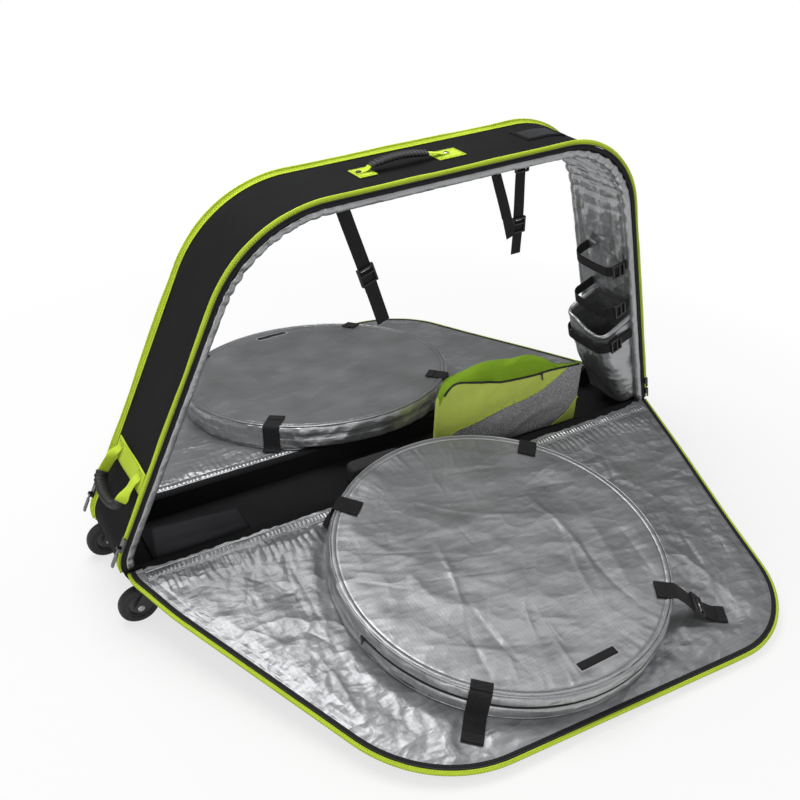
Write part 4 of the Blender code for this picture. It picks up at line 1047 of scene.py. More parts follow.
def make_bag_strap(side, body, label, start, end):
    """Webbing over the bag's edge and down to the panel, with folded and stitched ends."""
    name = f"{body}_strap_{label}"
    length = np.linalg.norm(end - start)
    run = (end - start) / length
    sideways = left_of(run)
    half = STRAP_WIDTH / 2
    rims = []
    for offset in (-half, 0.0, half):
        edge = start - BAG_CENTRE + sideways * offset
        reach = edge @ run
        rims.append(-reach + sqrt(reach ** 2 - edge @ edge + BAG_EDGE ** 2))
    rim = max(rims)
    top = 0.0616
    foot_n = 0.0040 if start[1] < BAG_CENTRE[1] else 0.0012
    path = [(0.0, top), (rim - 0.022, top), (rim - 0.007, top - 0.0003), (rim - 0.0005, top - 0.0035)]
    if length > 0.12:
        path += [(rim + 0.008, top - 0.009), (rim + 0.025, top - 0.022), (rim + 0.045, 0.0235),
                 (rim + 0.064, 0.0110), (rim + 0.080, foot_n + 0.0020), (rim + 0.090, foot_n)]
    else:
        path += [(rim + 0.0014, top - 0.014), (rim + 0.0030, 0.022), (rim + 0.0060, 0.0080),
                 (rim + 0.0120, foot_n + 0.0014), (rim + 0.022, foot_n)]
    path = catmull([p for p in path + [(length, foot_n)] if p[0] <= length], 60)
    across = unit(panel_point(side, *(start + sideways), 0.0) - panel_point(side, *start, 0.0))

    def place(points):
        where = start + run * points[:, :1]
        return panel_point(side, where[:, 0], where[:, 1], points[:, 1])

    web = place(path)
    made = ribbon(name + "_web", web, across, STRAP_WIDTH, 0.0016, "webbing", body)
    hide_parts(name)
    for tag, ply in (("fold", [(0.0008, top + 0.0016), (0.006, top + 0.0017), (0.020, top + 0.0016)]),
                     ("foot", [(length - 0.020, foot_n + 0.0014), (length - 0.008, foot_n + 0.0016),
                               (length - 0.001, foot_n + 0.0014)])):
        ribbon(f"{name}_{tag}", place(catmull(ply, 8)), across, STRAP_WIDTH - 0.001, 0.0014, "webbing",
               body)
    w = half - 0.004
    for tag, a, b, n in (("top", 0.003, 0.017, top + 0.0026),
                         ("foot", length - 0.017, length - 0.003, foot_n + 0.0025)):
        corners = np.array([(a, -w), (b, -w), (b, w), (a, w), (a, -w), (b, w)])
        where = start + run * corners[:, :1] + sideways * corners[:, 1:]
        stitching(f"{name}_{tag}_stitching", dotted(panel_point(side, where[:, 0], where[:, 1], n), 9),
                  body, "dark_thread", 0.004, 0.0028)
    if label == "outer_right":
        at = int(np.argmin(np.abs(path[:, 0] - 0.094)))
        along = unit(web[at + 1] - web[at - 1])
        above = np.cross(across, along)
        above = above * (1 if above[2] > 0 else -1)
        strap_buckle(name + "_buckle", web[at] + above * 0.0030, along, across, STRAP_WIDTH, body)
        ribbon(name + "_tail", web[at - 3:at + 16] + above * 0.0026, across, STRAP_WIDTH - 0.002, 0.0014,
               "webbing", body)
        bar = web[at] + above * 0.0075
        reach = across * STRAP_WIDTH * 0.46
        tube(name + "_buckle_bar", [bar - reach, bar + reach], 0.0012, "chrome", body)


def make_patch(side, body):
    """A bare rectangular patch of hook tape, sewn near the outer edge of the bag's top."""
    u0, u1, v0, v1 = PATCH

    def lifted(u, v, above):
        lift = bag_lift(u - BAG_CENTRE[0], v - BAG_CENTRE[1], BAG_SEED + side)
        return panel_point(side, u, v, BAG_TOP + lift + above)

    u, v = np.meshgrid(np.linspace(u0, u1, 14), (v0, v1), indexing="ij")
    loops = np.concatenate([lifted(u, v, 0.0016), lifted(u, v, -0.0010)[:, ::-1]], 1)
    made = lattice(body + "_patch", loops, "webbing", body)
    made.modifiers.new("soft_edge", "BEVEL").width = 0.0005
    rim = 0.0022
    u, v = dotted(rectangle(u0 - rim, u1 + rim, v0 - rim, v1 + rim), 20).T
    tube(body + "_patch_edge", lifted(u, v, 0.0003), 0.0008, "silver_thread", body, 6, True)


# Base and wheels

FLAP_Y = -0.069
HOUSING_FACE = HALF_WIDTH + 0.0005 + 0.032  # y of a wheel housing's outer face


def dress_node(name, finish, bevel=0.0):
    """A CAD node whose shape is right keeps it, with softened edges and a real finish."""
    node_object = frame["nodes"][name]
    material, slot = FINISHES[finish]
    node_object.data.materials.clear()
    node_object.data.materials.append(material)
    if bevel:
        change = node_object.modifiers.new("soft_edge", "BEVEL")
        change.width = bevel
        change.segments = 3
        change.limit_method = "ANGLE"
        change.angle_limit = radians(30)


def pillow(name, low, high, finish, crown):
    """A padded block: a rounded box whose faces are crowned. low and high are its corners."""
    low, high = np.array(low, float), np.array(high, float)
    centre, half = (low + high) / 2, (high - low) / 2
    bm = bmesh.new()
    bmesh.ops.create_cube(bm, size=2.0)
    bmesh.ops.subdivide_edges(bm, edges=bm.edges[:], cuts=26, use_grid_fill=True)
    power = 7.0
    for vert in bm.verts:
        p = np.array(vert.co)
        p = p / np.sum(np.abs(p) ** power) ** (1 / power)
        bulge = 1 + crown / half * (1 - np.abs(p[[1, 0, 0]]) ** 2) * (1 - np.abs(p[[2, 2, 1]]) ** 2)
        vert.co = centre + p * half * bulge
    return piece(name, bm, finish)


def make_base():
    dress_node("base_pan", "shell_solid", 0.003)
    dress_node("base_board", "board", 0.001)
    dress_node("rear_skid", "plastic", 0.003)
    low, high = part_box("frame_support_block")
    pad = pillow("frame_support_pad", low + Vector((0, 0, 0.0002)), high, "foam", 0.0005)
    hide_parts("frame_support_block")
    make_flap()


def make_flap():
    """The padded black flap inside the low end, with a bound edge and a sewn channel."""
    bottom, top_right, top_left, left = 0.0667, 0.160, 0.176, 0.087
    shares = np.linspace(0, 1, 30)
    rises = np.linspace(0, 1, 18)
    x0, x1 = left - 0.002 * rises, 0.299 - 0.037 * rises
    z_top = top_left + (top_right - top_left) * shares
    x = x0[None] + (x1 - x0)[None] * shares[:, None]
    z = bottom + (z_top[:, None] - bottom) * rises[None]
    puff = np.sin(pi * shares)[:, None] ** 0.35 * np.sin(pi * rises)[None] ** 0.3
    channel = 1 - 0.45 * np.exp(-((rises - 0.62) / 0.035) ** 2)[None]
    sag = foil(x, z, 0.06, 0.06, 91)
    half = 0.0012 + 0.0098 * puff * channel
    front = ring_point(x, z - HINGE_HEIGHT, FLAP_Y - half + sag * puff)
    back = ring_point(x, z - HINGE_HEIGHT, FLAP_Y + half)
    made = lattice("side_flap_pad", np.concatenate([front, back[:, ::-1]], 1), "flap")
    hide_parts("padded_side_flap")
    x, z = dotted([(0.087, 0.068), (0.085, 0.1755), (0.2615, 0.1597), (0.2985, 0.068)], 24, True).T
    tube("side_flap_binding", ring_point(x, z - HINGE_HEIGHT, FLAP_Y), 0.0020, "tape")


def make_wheels():
    for side, name in SIDES:
        for node_name, finish, bevel in (("_wheel_housing", "wheel_plastic", 0.0016),
                                         ("_wheel_axle", "chrome", 0.0003),
                                         ("_wheel_hub", "hub", 0.0005), ("_wheel_tyre", "tyre", 0.0005)):
            dress_node(name + node_name, finish, bevel)
        face = side * HOUSING_FACE
        centre = np.array((0.062 + START_X, face, 0.047))
        blocks(name + "_wheel_washer", [((0, 0, 0), (0.011, 0.011, 0.0012))],
               ((0.92, 0, 0.39), (-0.39, 0, 0.92), (0, side, 0)), centre, "chrome", bevel=0.0003)
        dome(name + "_wheel_rivet", centre + np.array((0, side * 0.0005, 0)), (0, side, 0), 0.0032,
             0.0022, "wheel_plastic")
        for dx, dz in ((0.092, 0.080), (0.103, 0.062)):
            dome(f"{name}_wheel_screw_{round(dx * 1000)}",
                 np.array((dx + START_X, face - side * 0.0002, dz)), (0, side, 0), 0.0028, 0.0014,
                 "wheel_plastic")


# Handles and window

def top_point(x, out, y):
    """A point above the flat top of the ring: x along it, out from its outer face."""
    x, out, y = np.broadcast_arrays(np.array(x, float), out, y)
    v = LOW_TOP[1] + (x - LOW_TOP[0]) * (HIGH_TOP[1] - LOW_TOP[1]) / (HIGH_TOP[0] - LOW_TOP[0])
    return ring_point(x + TOP_NORMAL[0] * out, v + TOP_NORMAL[1] * out, y)


def low_point(v, out, y):
    """A point off the straight low end wall."""
    v, out, y = np.broadcast_arrays(np.array(v, float), out, y)
    run = (LOW_TOP - LOW_FOOT) / np.linalg.norm(LOW_TOP - LOW_FOOT)
    foot = LOW_FOOT[None] + LOW_NORMAL[None] * out.reshape(-1, 1)
    distance = (v.reshape(-1, 1) - LOW_FOOT[1]) / run[1]
    flat = foot + run[None] * distance
    return ring_point(flat[:, 0], flat[:, 1], y.ravel()).reshape(out.shape + (3,))


def box_stitch(name, corners):
    """A sewn box with one diagonal through four corner points."""
    a, b, c, d = corners
    stitching(name, dotted([a, b, c, d, a, c], 12), CASE, "lime_thread", 0.0042, 0.003)


HANDLE_START, HANDLE_END = 0.594, 0.755
WINDOW = (0.960, 1.060, -0.022, 0.044)  # x and y of its sides


def make_top_handle():
    for turn, label, x_a, x_b, tip in ((-1, "left", 0.566, 0.604, 0.012), (1, "right", 0.744, 0.806, 0.032)):
        name = "top_handle_patch_" + label
        inner = HANDLE_START - 0.002 if turn < 0 else HANDLE_END + 0.002
        path = top_point(np.linspace(x_a, x_b, 10), 0.0016, 0.0)
        made = ribbon(name + "_cloth", path, (0, 1, 0), 0.048, 0.0022, "lime")
        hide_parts(name)
        xs, outs = catmull([(inner + turn * 0.022, 0.0036), (inner + turn * 0.010, 0.0042),
                            (inner - turn * 0.002, 0.0072), (inner - turn * tip * 0.6, 0.0112),
                            (inner - turn * tip, 0.0122)], 20).T
        ribbon(name + "_loop", top_point(xs, outs, 0.0), (0, 1, 0), 0.015, 0.0018, "lime")
        box_stitch(name + "_stitching", [
            top_point(x, 0.0031, y) for x, y in rectangle(x_a + 0.004, x_b - 0.004, -0.020, 0.020)[:4]])
        dome(name + "_rivet", top_point(inner + turn * 0.016, 0.0044, 0.0),
             (TOP_NORMAL[0], 0, TOP_NORMAL[1]), 0.0058, 0.0028, "chrome" if turn > 0 else "plastic")
    distance = np.linspace(HANDLE_START + 0.006, HANDLE_END - 0.026, 180)
    share = (distance - distance[0]) / (distance[-1] - distance[0])
    rise = 0.0125 + 0.0070 * np.sin(pi * share)
    ribs = np.clip(0.5 + 0.9 * np.sin(distance * 2 * pi / 0.0085), 0, 1)
    end = np.minimum(1, 7 * np.minimum(share, 1 - share))
    made = sleeve("top_handle_ribbed_grip", top_point(distance, rise, 0.0), (0, 1, 0),
                  0.0080 + 0.0018 * end + 0.0030 * ribs, 0.0032 + 0.0014 * end + 0.0022 * ribs,
                  "grip", "top_handle")
    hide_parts("top_handle_grip")


def make_end_handle():
    reach = HALF_WIDTH - 0.016 - 0.0016
    ys = np.linspace(-reach, reach, 60)
    path = low_point(0.172, 0.0015 + 0.0006 * np.sin(ys * 60), ys)
    run = unit(low_point(0.2, 0.0, 0.0) - low_point(0.1, 0.0, 0.0))
    made = ribbon("end_handle_webbing", path, run, 0.042, 0.0022, "lime")
    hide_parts("end_handle_band")
    for v in (0.156, 0.188):
        stitching(f"end_band_stitching_{round(v * 1000)}", low_point(v, 0.0030, ys), CASE, "lime_thread")
    pivot = low_point(0.166, 0.0105, 0.0)
    hang = np.array((-0.040, 0.0, -0.050))
    outward = np.array((hang[2], 0, -hang[0])) / np.linalg.norm(hang)
    for side, name in SIDES:
        y = side * 0.057
        sewn = [low_point(v, out, y) for v, out in ((0.190, 0.0032), (0.181, 0.0034), (0.173, 0.0058))]
        legs = [(0.0, 0.057), (0.25, 0.058), (0.50, 0.058), (0.75, 0.056), (0.92, 0.050)]
        free = [pivot + hang * a + np.array((0, side * b, 0)) for a, b in legs]
        path = catmull(sewn + free, 60)
        twist = (0.25, 0.55) if side > 0 else (0.45, 1.0)
        turn = ramp(*twist, np.linspace(0, 1, 60))[:, None]
        across = turn * outward + (1 - turn) * np.array((0.0, 1.0, 0.0))
        leg = ribbon(f"end_handle_leg_{name}", path, across, 0.023, 0.0020, "lime", None)
        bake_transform(leg)
        box_stitch(f"end_handle_stitching_{name}", [
            low_point(v, 0.0046, y + dy) for v, dy in rectangle(0.180, 0.188, -0.008, 0.008)[:4]])
    grips = [(0.74, 0.0565), (0.88, 0.052), (1.00, 0.040), (1.06, 0.020), (1.08, 0.0), (1.06, -0.020),
             (1.00, -0.040), (0.88, -0.052), (0.74, -0.0565)]
    path = catmull([pivot + hang * a + np.array((0, y, 0)) for a, y in grips], 260)
    reach_along = running(path)
    share = reach_along / reach_along[-1]
    ribs = np.clip(0.5 + 0.9 * np.sin(reach_along * 2 * pi / 0.0095), 0, 1)
    ribs = ribs * ramp(0.0, 0.05, np.minimum(share, 1 - share))
    made = sleeve("end_handle_ribbed_grip", path, outward, 0.0128 + 0.0017 * ribs,
                  0.0075 + 0.0015 * ribs, "grip", "end_handle", 24)
    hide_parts("end_handle_grip")


def crown_point(x, out, y):
    """A point off the ring's outer face, where its flat top bends into the high corner."""
    line = arch(0.4, 900)
    v, across, up = [np.interp(x, line.points[:, 0], values)
                     for values in (line.points[:, 1], *line.normals.T)]
    return ring_point(x + across * out, v + up * out, y)


def make_window():
    """The address window: a raised fabric frame that bends with the ring, and a film in it."""
    x0, x1, y0, y1 = WINDOW
    border = 0.0085
    x = np.linspace(x0, x1, 60)[:, None]
    edge = np.linspace(y0, y1, 44)
    ys = np.concatenate([edge, edge[::-1]])[None]
    margin = np.minimum(np.minimum(x - x0, x1 - x), np.minimum(ys - y0, y1 - ys))
    height = 0.0004 + 0.0024 * ramp(0.0, 0.0012, margin) - 0.0016 * ramp(border, border + 0.001, margin)
    outs = np.where(np.arange(88)[None] < 44, height, -0.0012)
    made = lattice("id_window_border", crown_point(x + 0 * ys, outs, ys), "shell_solid")
    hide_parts("id_window_frame")
    across, along = np.meshgrid(np.linspace(0, 1, 16), np.linspace(0, 1, 24))
    x = x0 + border + (x1 - x0 - 2 * border) * along
    y = y0 + border + (y1 - y0 - 2 * border) * across
    bulge = np.sin(pi * along) * np.sin(pi * across)
    made = sheet("id_window_film", crown_point(x, 0.0016 + 0.0010 * bulge, y), "window", CASE, 0.0004)
    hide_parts("id_window_pane")
    x, y = dotted(rectangle(x0 + 0.004, x1 - 0.004, y0 + 0.004, y1 - 0.004), 16).T
    stitching("id_window_stitching", crown_point(x, 0.0031, y))


# Inside fittings

# Each strap has a name, x of its top, (x, z) of its low end, its y, its width and its buckles.
# A buckle is (share of the strap's length, size).
HANGING_STRAPS = (
    ("seat_post_strap", 0.525, (0.640, 0.462), 0.0, 0.030, [(0.62, 0.042)]),
    ("frame_strap_left", 0.878, (0.950, 0.600), -0.011, 0.024, []),
    ("frame_strap_right", 0.972, (0.984, 0.548), 0.009, 0.026, [(0.19, 0.024), (0.72, 0.036)]),
)


def hanging_strap(name, top_x, low_end, y, width, buckles):
    """A doubled webbing strap that hangs from the ring."""
    start, end = np.array((top_x, top_point(top_x, -0.016, 0.0)[2])), np.array(low_end)
    run = (end - start) / np.linalg.norm(end - start)
    shares = np.linspace(0, 1, 40)
    bow = 0.0016 * np.sin(shares * pi * 2.3)
    flat = start + (end - start) * shares[:, None]
    across = np.array((run[1], 0, -run[0]))

    def place(flat, y):
        return ring_point(flat[..., 0], flat[..., 1] - HINGE_HEIGHT, y)

    made = ribbon(name + "_web", place(flat, y - 0.0011 + bow), across, width, 0.0015, "webbing")
    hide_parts(name)
    ribbon(name + "_back_web", place(flat[:30], y + 0.0010 + bow[:30] * 0.5), across, width - 0.001, 0.0014,
           "webbing")
    for k, (share, size) in enumerate(buckles):
        middle = start + (end - start) * share
        strap_buckle(f"{name}_buckle_{k}", place(middle, y - 0.0035), (run[0], 0, run[1]), across, width,
                     CASE, size)
        bar = place(middle - run * size * 0.36, y - 0.0072)
        reach = across * width * 0.42
        tube(f"{name}_buckle_bar_{k}", [bar - reach, bar + reach], 0.0012, "chrome")
    hem = end - run * 0.006 + left_of(run) * np.linspace(width * 0.4, -width * 0.4, 12)[:, None]
    stitching(name + "_hem_stitching", place(hem, y - 0.0022), CASE, "dark_thread", 0.004, 0.0028)


def high_point(rise, depth, y):
    """A point off the inner side of the straight high end wall. All may be arrays."""
    rise, depth, y = np.broadcast_arrays(np.array(rise, float), depth, y)
    run = (HIGH_TOP - HIGH_FOOT) / np.linalg.norm(HIGH_TOP - HIGH_FOOT)
    flat = (np.array((BASE_LENGTH, 0.0)) - HIGH_NORMAL * depth[..., None] + run * rise[..., None])
    return ring_point(flat[..., 0], flat[..., 1], y)


POCKET_NEAR, POCKET_FAR = -0.0845, 0.0495
POCKET_MOUTH_DEPTH, POCKET_FOOT_DEPTH = 0.112, 0.0705
POCKET_RISE = 0.238
POCKET_WALL = 0.0158  # depth at which the pouch meets the wall


def pocket_plan(depth, count):
    """Outline of the pouch at one depth, as (depth, y), from the near wall round to the far wall."""
    corner = 0.024
    points = [np.array((POCKET_WALL, POCKET_NEAR)), np.array((depth - corner, POCKET_NEAR))]
    for centre_y, start, end in ((POCKET_NEAR + corner, DOWN, (1, 0)), (POCKET_FAR - corner, (1, 0), (0, 1))):
        points += arc(np.array((depth - corner, centre_y)), corner, start, end, 8)
    points.append(np.array((POCKET_WALL, POCKET_FAR)))
    return Line(points, count)


def make_fork_pocket():
    """A padded silver pouch on the high end wall, with a rolled rim along its slanted mouth."""
    mouth = pocket_plan(POCKET_MOUTH_DEPTH, 110)
    foot = pocket_plan(POCKET_FOOT_DEPTH, 110)
    from_wall = (mouth.points[:, 0] - POCKET_WALL) / (POCKET_MOUTH_DEPTH - POCKET_WALL)
    top = POCKET_RISE + 0.022 * (1 - from_wall)
    top = top + 0.020 * ramp(-0.04, 0.03, mouth.points[:, 1])

    def row(share, shift):
        """One level of the pouch's wall, from its foot at 0 to its rim at 1, shifted outward."""
        taper = ramp(-0.1, 0.85, share)
        flat = foot.points * (1 - taper) + mouth.points * taper
        normal = -unit(foot.normals * (1 - taper) + mouth.normals * taper)
        rise = 0.012 + (top - 0.012) * share
        reach = mouth.lengths
        puff = foil(reach, rise, 0.060, 0.06, 111) + 0.0030 * puffs(reach, rise, 0.2, 0.12, 0.06, 117)
        held = ramp(0.0, 0.02, reach) * ramp(0.0, 0.02, reach[-1] - reach)
        bulge = 0.8 * puff * held * sin(pi * min(share, 1.0))
        flat = flat - normal * (shift - bulge)[:, None]
        return high_point(rise, np.maximum(flat[:, 0], 0.0160), flat[:, 1])

    rows = [row(share, 0.0004) for share in np.linspace(0, 1, 40)]
    for share, shift in ((1.010, -0.0018), (1.030, -0.0030), (1.046, -0.0010), (1.050, 0.0030),
                         (1.036, 0.0068), (1.010, 0.0072)):
        rows.append(row(share, shift))
    rows += [row(share, 0.0052) for share in np.linspace(0.98, 0.01, 16)]
    made = lattice("fork_pocket_pouch", np.stack(rows, 1), "silver")
    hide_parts("fork_pocket")
    stitching("fork_pocket_stitching", row(0.975, -0.0008), CASE, "silver_thread")
    for name, rise, depth in (("lower_fork_strap", 0.222, POCKET_MOUTH_DEPTH + 0.0035),
                              ("upper_fork_strap", 0.312, 0.088), ("top_fork_strap", 0.420, 0.070)):
        make_fork_strap(name, rise, depth)


def make_fork_strap(name, rise, depth):
    """A webbing loop off the high end wall with a side-release buckle on its near run."""
    loop = pocket_plan(depth, 90)
    out_shift = 0.0040 if name == "lower_fork_strap" else 0.0
    flat = loop.points - loop.normals * out_shift
    sag = 0.010 * np.sin(pi * loop.lengths / loop.lengths[-1])
    path = high_point(rise - sag, np.maximum(flat[:, 0], 0.0170), flat[:, 1])
    across = unit(high_point(1.0, 0.0, 0.0) - high_point(0.0, 0.0, 0.0))
    web = ribbon(name + "_web", path, across, 0.025, 0.0020, "webbing")
    if name != "top_fork_strap":
        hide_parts(name)
    at = 18 if depth > 0.1 else 14
    along = path[at + 1] - path[at - 1]
    out = unit(np.cross(across, along))
    out = out * (1 if out[1] < 0 else -1)
    strap_buckle(name + "_buckle", path[at] + out * 0.0035, along, across, 0.025)
    tail = path[at - 4:at + 16] + out * 0.0026
    ribbon(name + "_tail", tail, across, 0.023, 0.0016, "webbing")


# Tool bag

# Stations along x, as (x, height of the top, half width)
TOOL_STATIONS = ((0.792, 0.225, 0.010), (0.812, 0.250, 0.017), (0.846, 0.268, 0.020),
                 (0.880, 0.277, 0.028), (0.960, 0.281, 0.031), (1.030, 0.274, 0.031),
                 (1.080, 0.262, 0.027), (1.112, 0.245, 0.016), (1.132, 0.232, 0.008),
                 (1.160, 0.226, 0.005), (1.202, 0.218, 0.004))
TOOL_FULLNESS = 0.93  # the share of its half widths that the bag fills
TOOL_FRONT = 0.031  # the mesh face stays this far in front of the bag's middle
TOOL_ZIP = ((0.792, 0.208), (0.806, 0.244), (0.830, 0.262), (0.870, 0.259), (0.920, 0.248),
            (0.974, 0.240), (1.040, 0.237), (1.093, 0.238), (1.150, 0.235), (1.204, 0.229))
TOOL_SEAM = ((0.812, 0.118), (0.856, 0.140), (0.944, 0.165), (1.057, 0.187), (1.120, 0.214),
             (1.150, 0.2345))
TOOL_CORNER = ((1.130, 0.068), (1.170, 0.094), (1.204, 0.134))


def make_tool_bag():
    """A slack lime bag with a grey mesh front, piped seams and a zip along its top edge."""
    body = "accessory_bag"
    floor = float(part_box("accessory_bag")[0][2])
    stations = np.array(TOOL_STATIONS)
    xs = np.linspace(stations[0, 0], stations[-1, 0], 170)
    tops = catmull(stations[:, :2], 400)
    halves = catmull(stations[:, ::2], 400)
    zips = catmull(TOOL_ZIP, 400)
    half = TOOL_FULLNESS * np.interp(xs, halves[:, 0], halves[:, 1])
    zip_z = np.interp(xs, zips[:, 0], zips[:, 1])
    top = np.maximum(np.interp(xs, tops[:, 0], tops[:, 1]) + 0.004, zip_z + 0.0015)
    # Each section point is (y in half widths, height up to the zip line, height on to the top)
    section = catmull([(-0.90, 0.0, 0), (-1.00, 0.06, 0), (-1.04, 0.30, 0), (-1.05, 0.60, 0),
                       (-1.01, 0.90, 0), (-0.98, 1.0, 0), (-0.93, 1.0, 0.04), (-0.80, 1.0, 0.42),
                       (-0.48, 1.0, 0.86), (-0.10, 1.0, 1.0), (0.35, 1.0, 0.92), (0.75, 1.0, 0.55),
                       (0.97, 1.0, 0.0), (1.02, 0.70, 0), (1.02, 0.30, 0), (0.98, 0.06, 0),
                       (0.90, 0.0, 0)], 110)
    across, front, upper = section.T
    shift = np.where(xs > 1.0, TOOL_FRONT - half, 0)
    y = half[:, None] * across[None] - shift[:, None]
    z = floor + (zip_z - floor)[:, None] * front[None] + (top - zip_z)[:, None] * upper[None]
    x = np.broadcast_to(xs[:, None], y.shape)
    slack = ramp(0.02, 0.2, front)[None] * ramp(0.0, 0.03, xs - xs[0])[:, None]
    slack = slack * ramp(0.0, 0.03, xs[-1] - xs)[:, None]
    on_top = ramp(0.0, 0.3, upper)[None]
    thick = ramp(0.004, 0.02, half)[:, None]
    y = y + np.sign(across)[None] * slack * (1 - on_top) * foil(x, z, 0.075, 0.07, 131) * thick
    y = y - slack * (1 - on_top) * 0.0030 * folds(x, z, 0.45, 0.20, 0.055, 133) * (across < 0)[None]
    hump = ramp(0.0, 0.03, top - zip_z)[:, None]
    z = z + slack * on_top * hump * (0.0032 * folds(x, y * 2, 0.6, 0.16, 0.05, 137)
                                     + foil(x, y, 0.05, 0.08, 139))
    # The bag's cloth is the paler lime copy, painted light against the shade it sits in
    made = lattice("tool_bag", ring_point(x, z - HINGE_HEIGHT, y), "lime_painted_light", body)
    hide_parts("accessory_bag")
    # The bag's sides keep its first material, a paler lime that paints light on them; the front face has the
    # second, the mesh; its top has the third, a darker lime that paints shade on it
    for finish in ("mesh", "lime_painted_shade"):
        made.data.materials.append(FINISHES[finish][0])
    seam, corner = catmull(TOOL_SEAM, 60), catmull(TOOL_CORNER, 30)
    for face in made.data.polygons:
        px, pz = face.center[0] - START_X, face.center[2]
        zip_here = np.interp(px, xs, zip_z)
        below = pz < np.interp(px, seam[:, 0], seam[:, 1], right=1.0)
        in_corner = px > corner[0, 0] and pz < np.interp(px, corner[:, 0], corner[:, 1])
        # Faces above the zip, or facing up near it, get the darker lime: painted shade
        if pz > zip_here + 0.0015 or (abs(face.normal[2]) > 0.6 and pz > zip_here - 0.004):
            face.material_index = 2
        elif below and not in_corner and abs(face.normal[2]) < 0.75:
            face.material_index = 1

    def on_face(line_points, side, count):
        path = catmull(line_points, count)
        columns = across < 0 if side < 0 else across > 0
        face_z, face_y = z[:, columns & (upper < 0.01)], y[:, columns & (upper < 0.01)]
        places = []
        for px, pz in path:
            row = int(np.clip(np.searchsorted(xs, px), 0, len(xs) - 1))
            order = np.argsort(face_z[row])
            places.append(np.interp(pz, face_z[row][order], face_y[row][order]))
        return ring_point(path[:, 0], path[:, 1] - HINGE_HEIGHT, np.array(places) + side * 0.0006)

    for side, name in SIDES:
        for tag, line, count, thick in (("", TOOL_SEAM, 140, 0.0015), ("corner_", TOOL_CORNER, 60, 0.0014)):
            tube(f"tool_bag_{name}_{tag}piping", on_face(line, side, count), thick, "lime", body, 7)
    rail = int(np.argmin(np.abs(across + 0.955) + (front < 0.9)))
    path = ring_point(x[4:-4, rail], z[4:-4, rail] - HINGE_HEIGHT, y[4:-4, rail] - 0.0006)
    ribbon("tool_bag_zip_tape", path, (0, 0.35, 0.94), 0.0052, 0.0012, "tape", body)
    tube("tool_bag_zip_teeth", path + np.array((0, -0.0010, 0.0003)), 0.0010, "teeth", body, 6)
    blocks("tool_bag_zip_pull", [((0, 0, 0), (0.006, 0.008, 0.003)),
                                 ((0, -0.010, 0), (0.004, 0.014, 0.0014))],
           ((1, 0, 0), (0, 0.4, 0.92), (0, -0.92, 0.4)), path[110] + np.array((0, -0.002, 0)),
           "plastic", body, 0.0005)


# Zip sliders

def make_sliders():
    for side, name in SIDES:
        for node_name in ("_zip_slider", "_zip_pull"):
            dress_node(name + node_name, "gunmetal", 0.0006)
        high = arch(0.0, 200)
        for k, index in enumerate((-6, -3)):
            p = high.points[index]
            centre = ring_point(p[0] + 0.004, p[1], side * 0.0975)
            blocks(f"{name}_high_slider_{k}",
                   [((0, 0, 0), (0.009, 0.016, 0.007)), ((0.004, -0.012, 0), (0.004, 0.020, 0.0024))],
                   ((0.96, 0, 0.28), (-0.28, 0, 0.96), (0, side, 0)), centre, "plastic")


# Stage

# Each lamp has a name, its place, what it points at, its size and its power in watts
LAMPS = (("key", (-0.40, 0.60, 2.45), (-0.1, -0.1, 0.1), (1.8, 1.6), 46),
         ("strip", (1.25, -0.30, 2.30), (0.3, -0.4, 0.0), (0.9, 0.5), 3),
         ("front_fill", (-1.9, -2.8, 1.6), (0.0, 0.0, 0.3), (1.8, 1.8), 20))
CAMERA_PLACE = (-0.2516 + START_X, -1.4775, 1.3293)
CAMERA_TURN = (0.5666, 0.5506, 0.0396)  # yaw, pitch and roll in radians


def seen_rays(tree):
    """Whether a ray is seen, straight or through a film, and whether it is a reflection, as 0 or 1."""
    path = node(tree, "LightPath").outputs
    return calc(tree, "MAXIMUM", path["Is Camera Ray"], path["Is Transmission Ray"]), path["Is Glossy Ray"]


def make_floor():
    mesh = bpy.data.meshes.new("floor")
    reach = 14.0
    mesh.from_pydata([(-reach, -reach, 0), (reach, -reach, 0), (reach, reach, 0), (-reach, reach, 0)],
                     [], [(0, 1, 2, 3)])
    pale, tree, bsdf, places = new_material("pale_floor", 0.9, specular=0.2)
    bsdf.inputs["Base Color"].default_value = (0.86, 0.86, 0.86, 1)
    distance = node(tree, "VectorMath", {0: places["Object"]}, operation="LENGTH").outputs["Value"]
    seen, mirrored = seen_rays(tree)
    seen = calc(tree, "MAXIMUM", seen, calc(tree, "MULTIPLY", mirrored, 0.35))
    share = calc(tree, "MULTIPLY", seen, ranged(tree, distance, 0.70, 1.0, 0.8, 1.6))
    white = node(tree, "Emission", {"Color": (1, 1, 1, 1), "Strength": 1.0}).outputs[0]
    mix = node(tree, "MixShader", {0: share, 1: bsdf.outputs[0], 2: white})
    tree.links.new(mix.outputs[0], tree.nodes["Material Output"].inputs["Surface"])
    mesh.materials.append(pale)
    floor = add_object("floor", mesh)


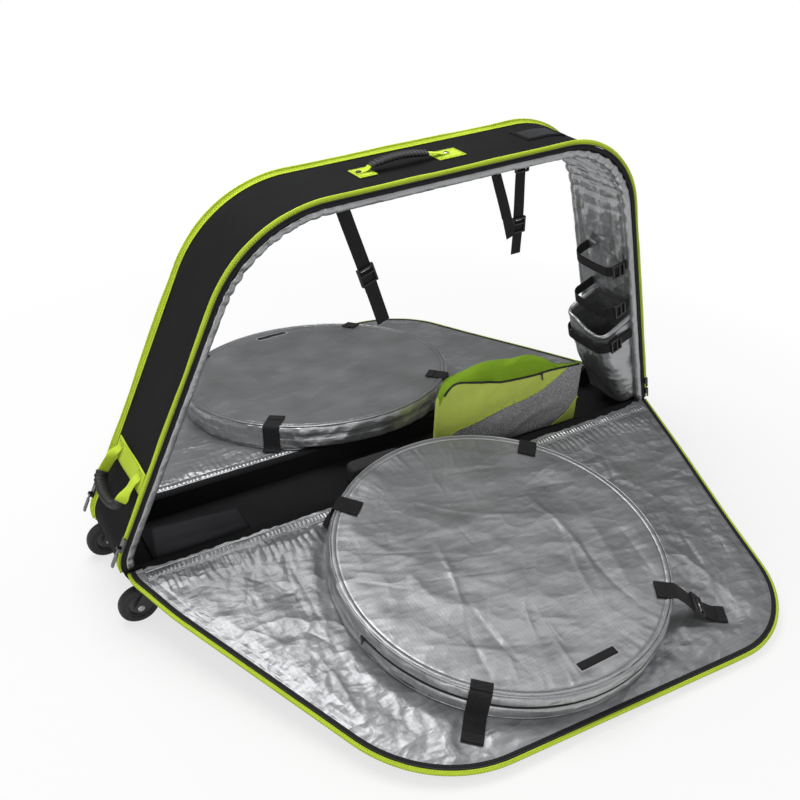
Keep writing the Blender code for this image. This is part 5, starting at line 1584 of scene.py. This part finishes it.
def make_world():
    """White to the camera. Reflections see a dim studio behind the case and a brighter one in front."""
    world = bpy.data.worlds.new("studio")
    world.use_nodes = True
    bpy.context.scene.world = world
    tree = world.node_tree
    background = tree.nodes["Background"]
    background.inputs["Color"].default_value = (1, 1, 1, 1)
    behind = node(tree, "SeparateXYZ", {0: node(tree, "TexCoord").outputs["Generated"]}).outputs["Y"]
    seen, mirrored = seen_rays(tree)
    inner = node(tree, "Mix", {"Factor": mirrored, "A": 0.45,
                               "B": ranged(tree, behind, 0.55, 0.12, -0.45, 0.30)}).outputs[0]
    strength = node(tree, "Mix", {"Factor": seen, "A": inner, "B": 1.0}).outputs[0]
    tree.links.new(strength, background.inputs["Strength"])


def make_stage():
    """A pale floor, soft lamps and the camera of the reference view."""
    scene = bpy.context.scene
    scene.view_settings.view_transform = "Standard"
    make_floor()
    make_world()
    for name, place, target, size, power in LAMPS:
        lamp = bpy.data.lights.new(name, "AREA")
        lamp.shape = "RECTANGLE"
        lamp.size, lamp.size_y = size
        lamp.energy = power
        made = add_object(name, lamp)
        made.location = place
        made.rotation_euler = (Vector(target) - Vector(place)).to_track_quat("-Z", "Y").to_euler()
    lens = bpy.data.cameras.new("camera")
    camera = add_object("camera", lens)
    yaw, pitch, roll = CAMERA_TURN
    forward = Vector((sin(yaw) * cos(pitch), cos(yaw) * cos(pitch), -sin(pitch)))
    right = Vector((cos(yaw), -sin(yaw), 0))
    up = right.cross(forward)
    turned_right = cos(roll) * right + sin(roll) * up
    turned_up = -sin(roll) * right + cos(roll) * up
    camera.matrix_world = (Matrix.Translation(Vector(CAMERA_PLACE))
                           @ Matrix([turned_right, turned_up, -forward]).transposed().to_4x4())
    lens.sensor_width = 36.0
    lens.lens = 41.16
    lens.clip_end = 60
    scene.camera = camera


make_ring()
for panel_side, panel_name in SIDES:
    make_panel(panel_side, panel_name)
    make_wheel_bag(panel_side, panel_name)
make_base()
make_wheels()
make_top_handle()
make_end_handle()
make_window()
for strap in HANGING_STRAPS:
    hanging_strap(*strap)
make_fork_pocket()
make_tool_bag()
make_sliders()
make_stage()

bpy.context.view_layer.update()
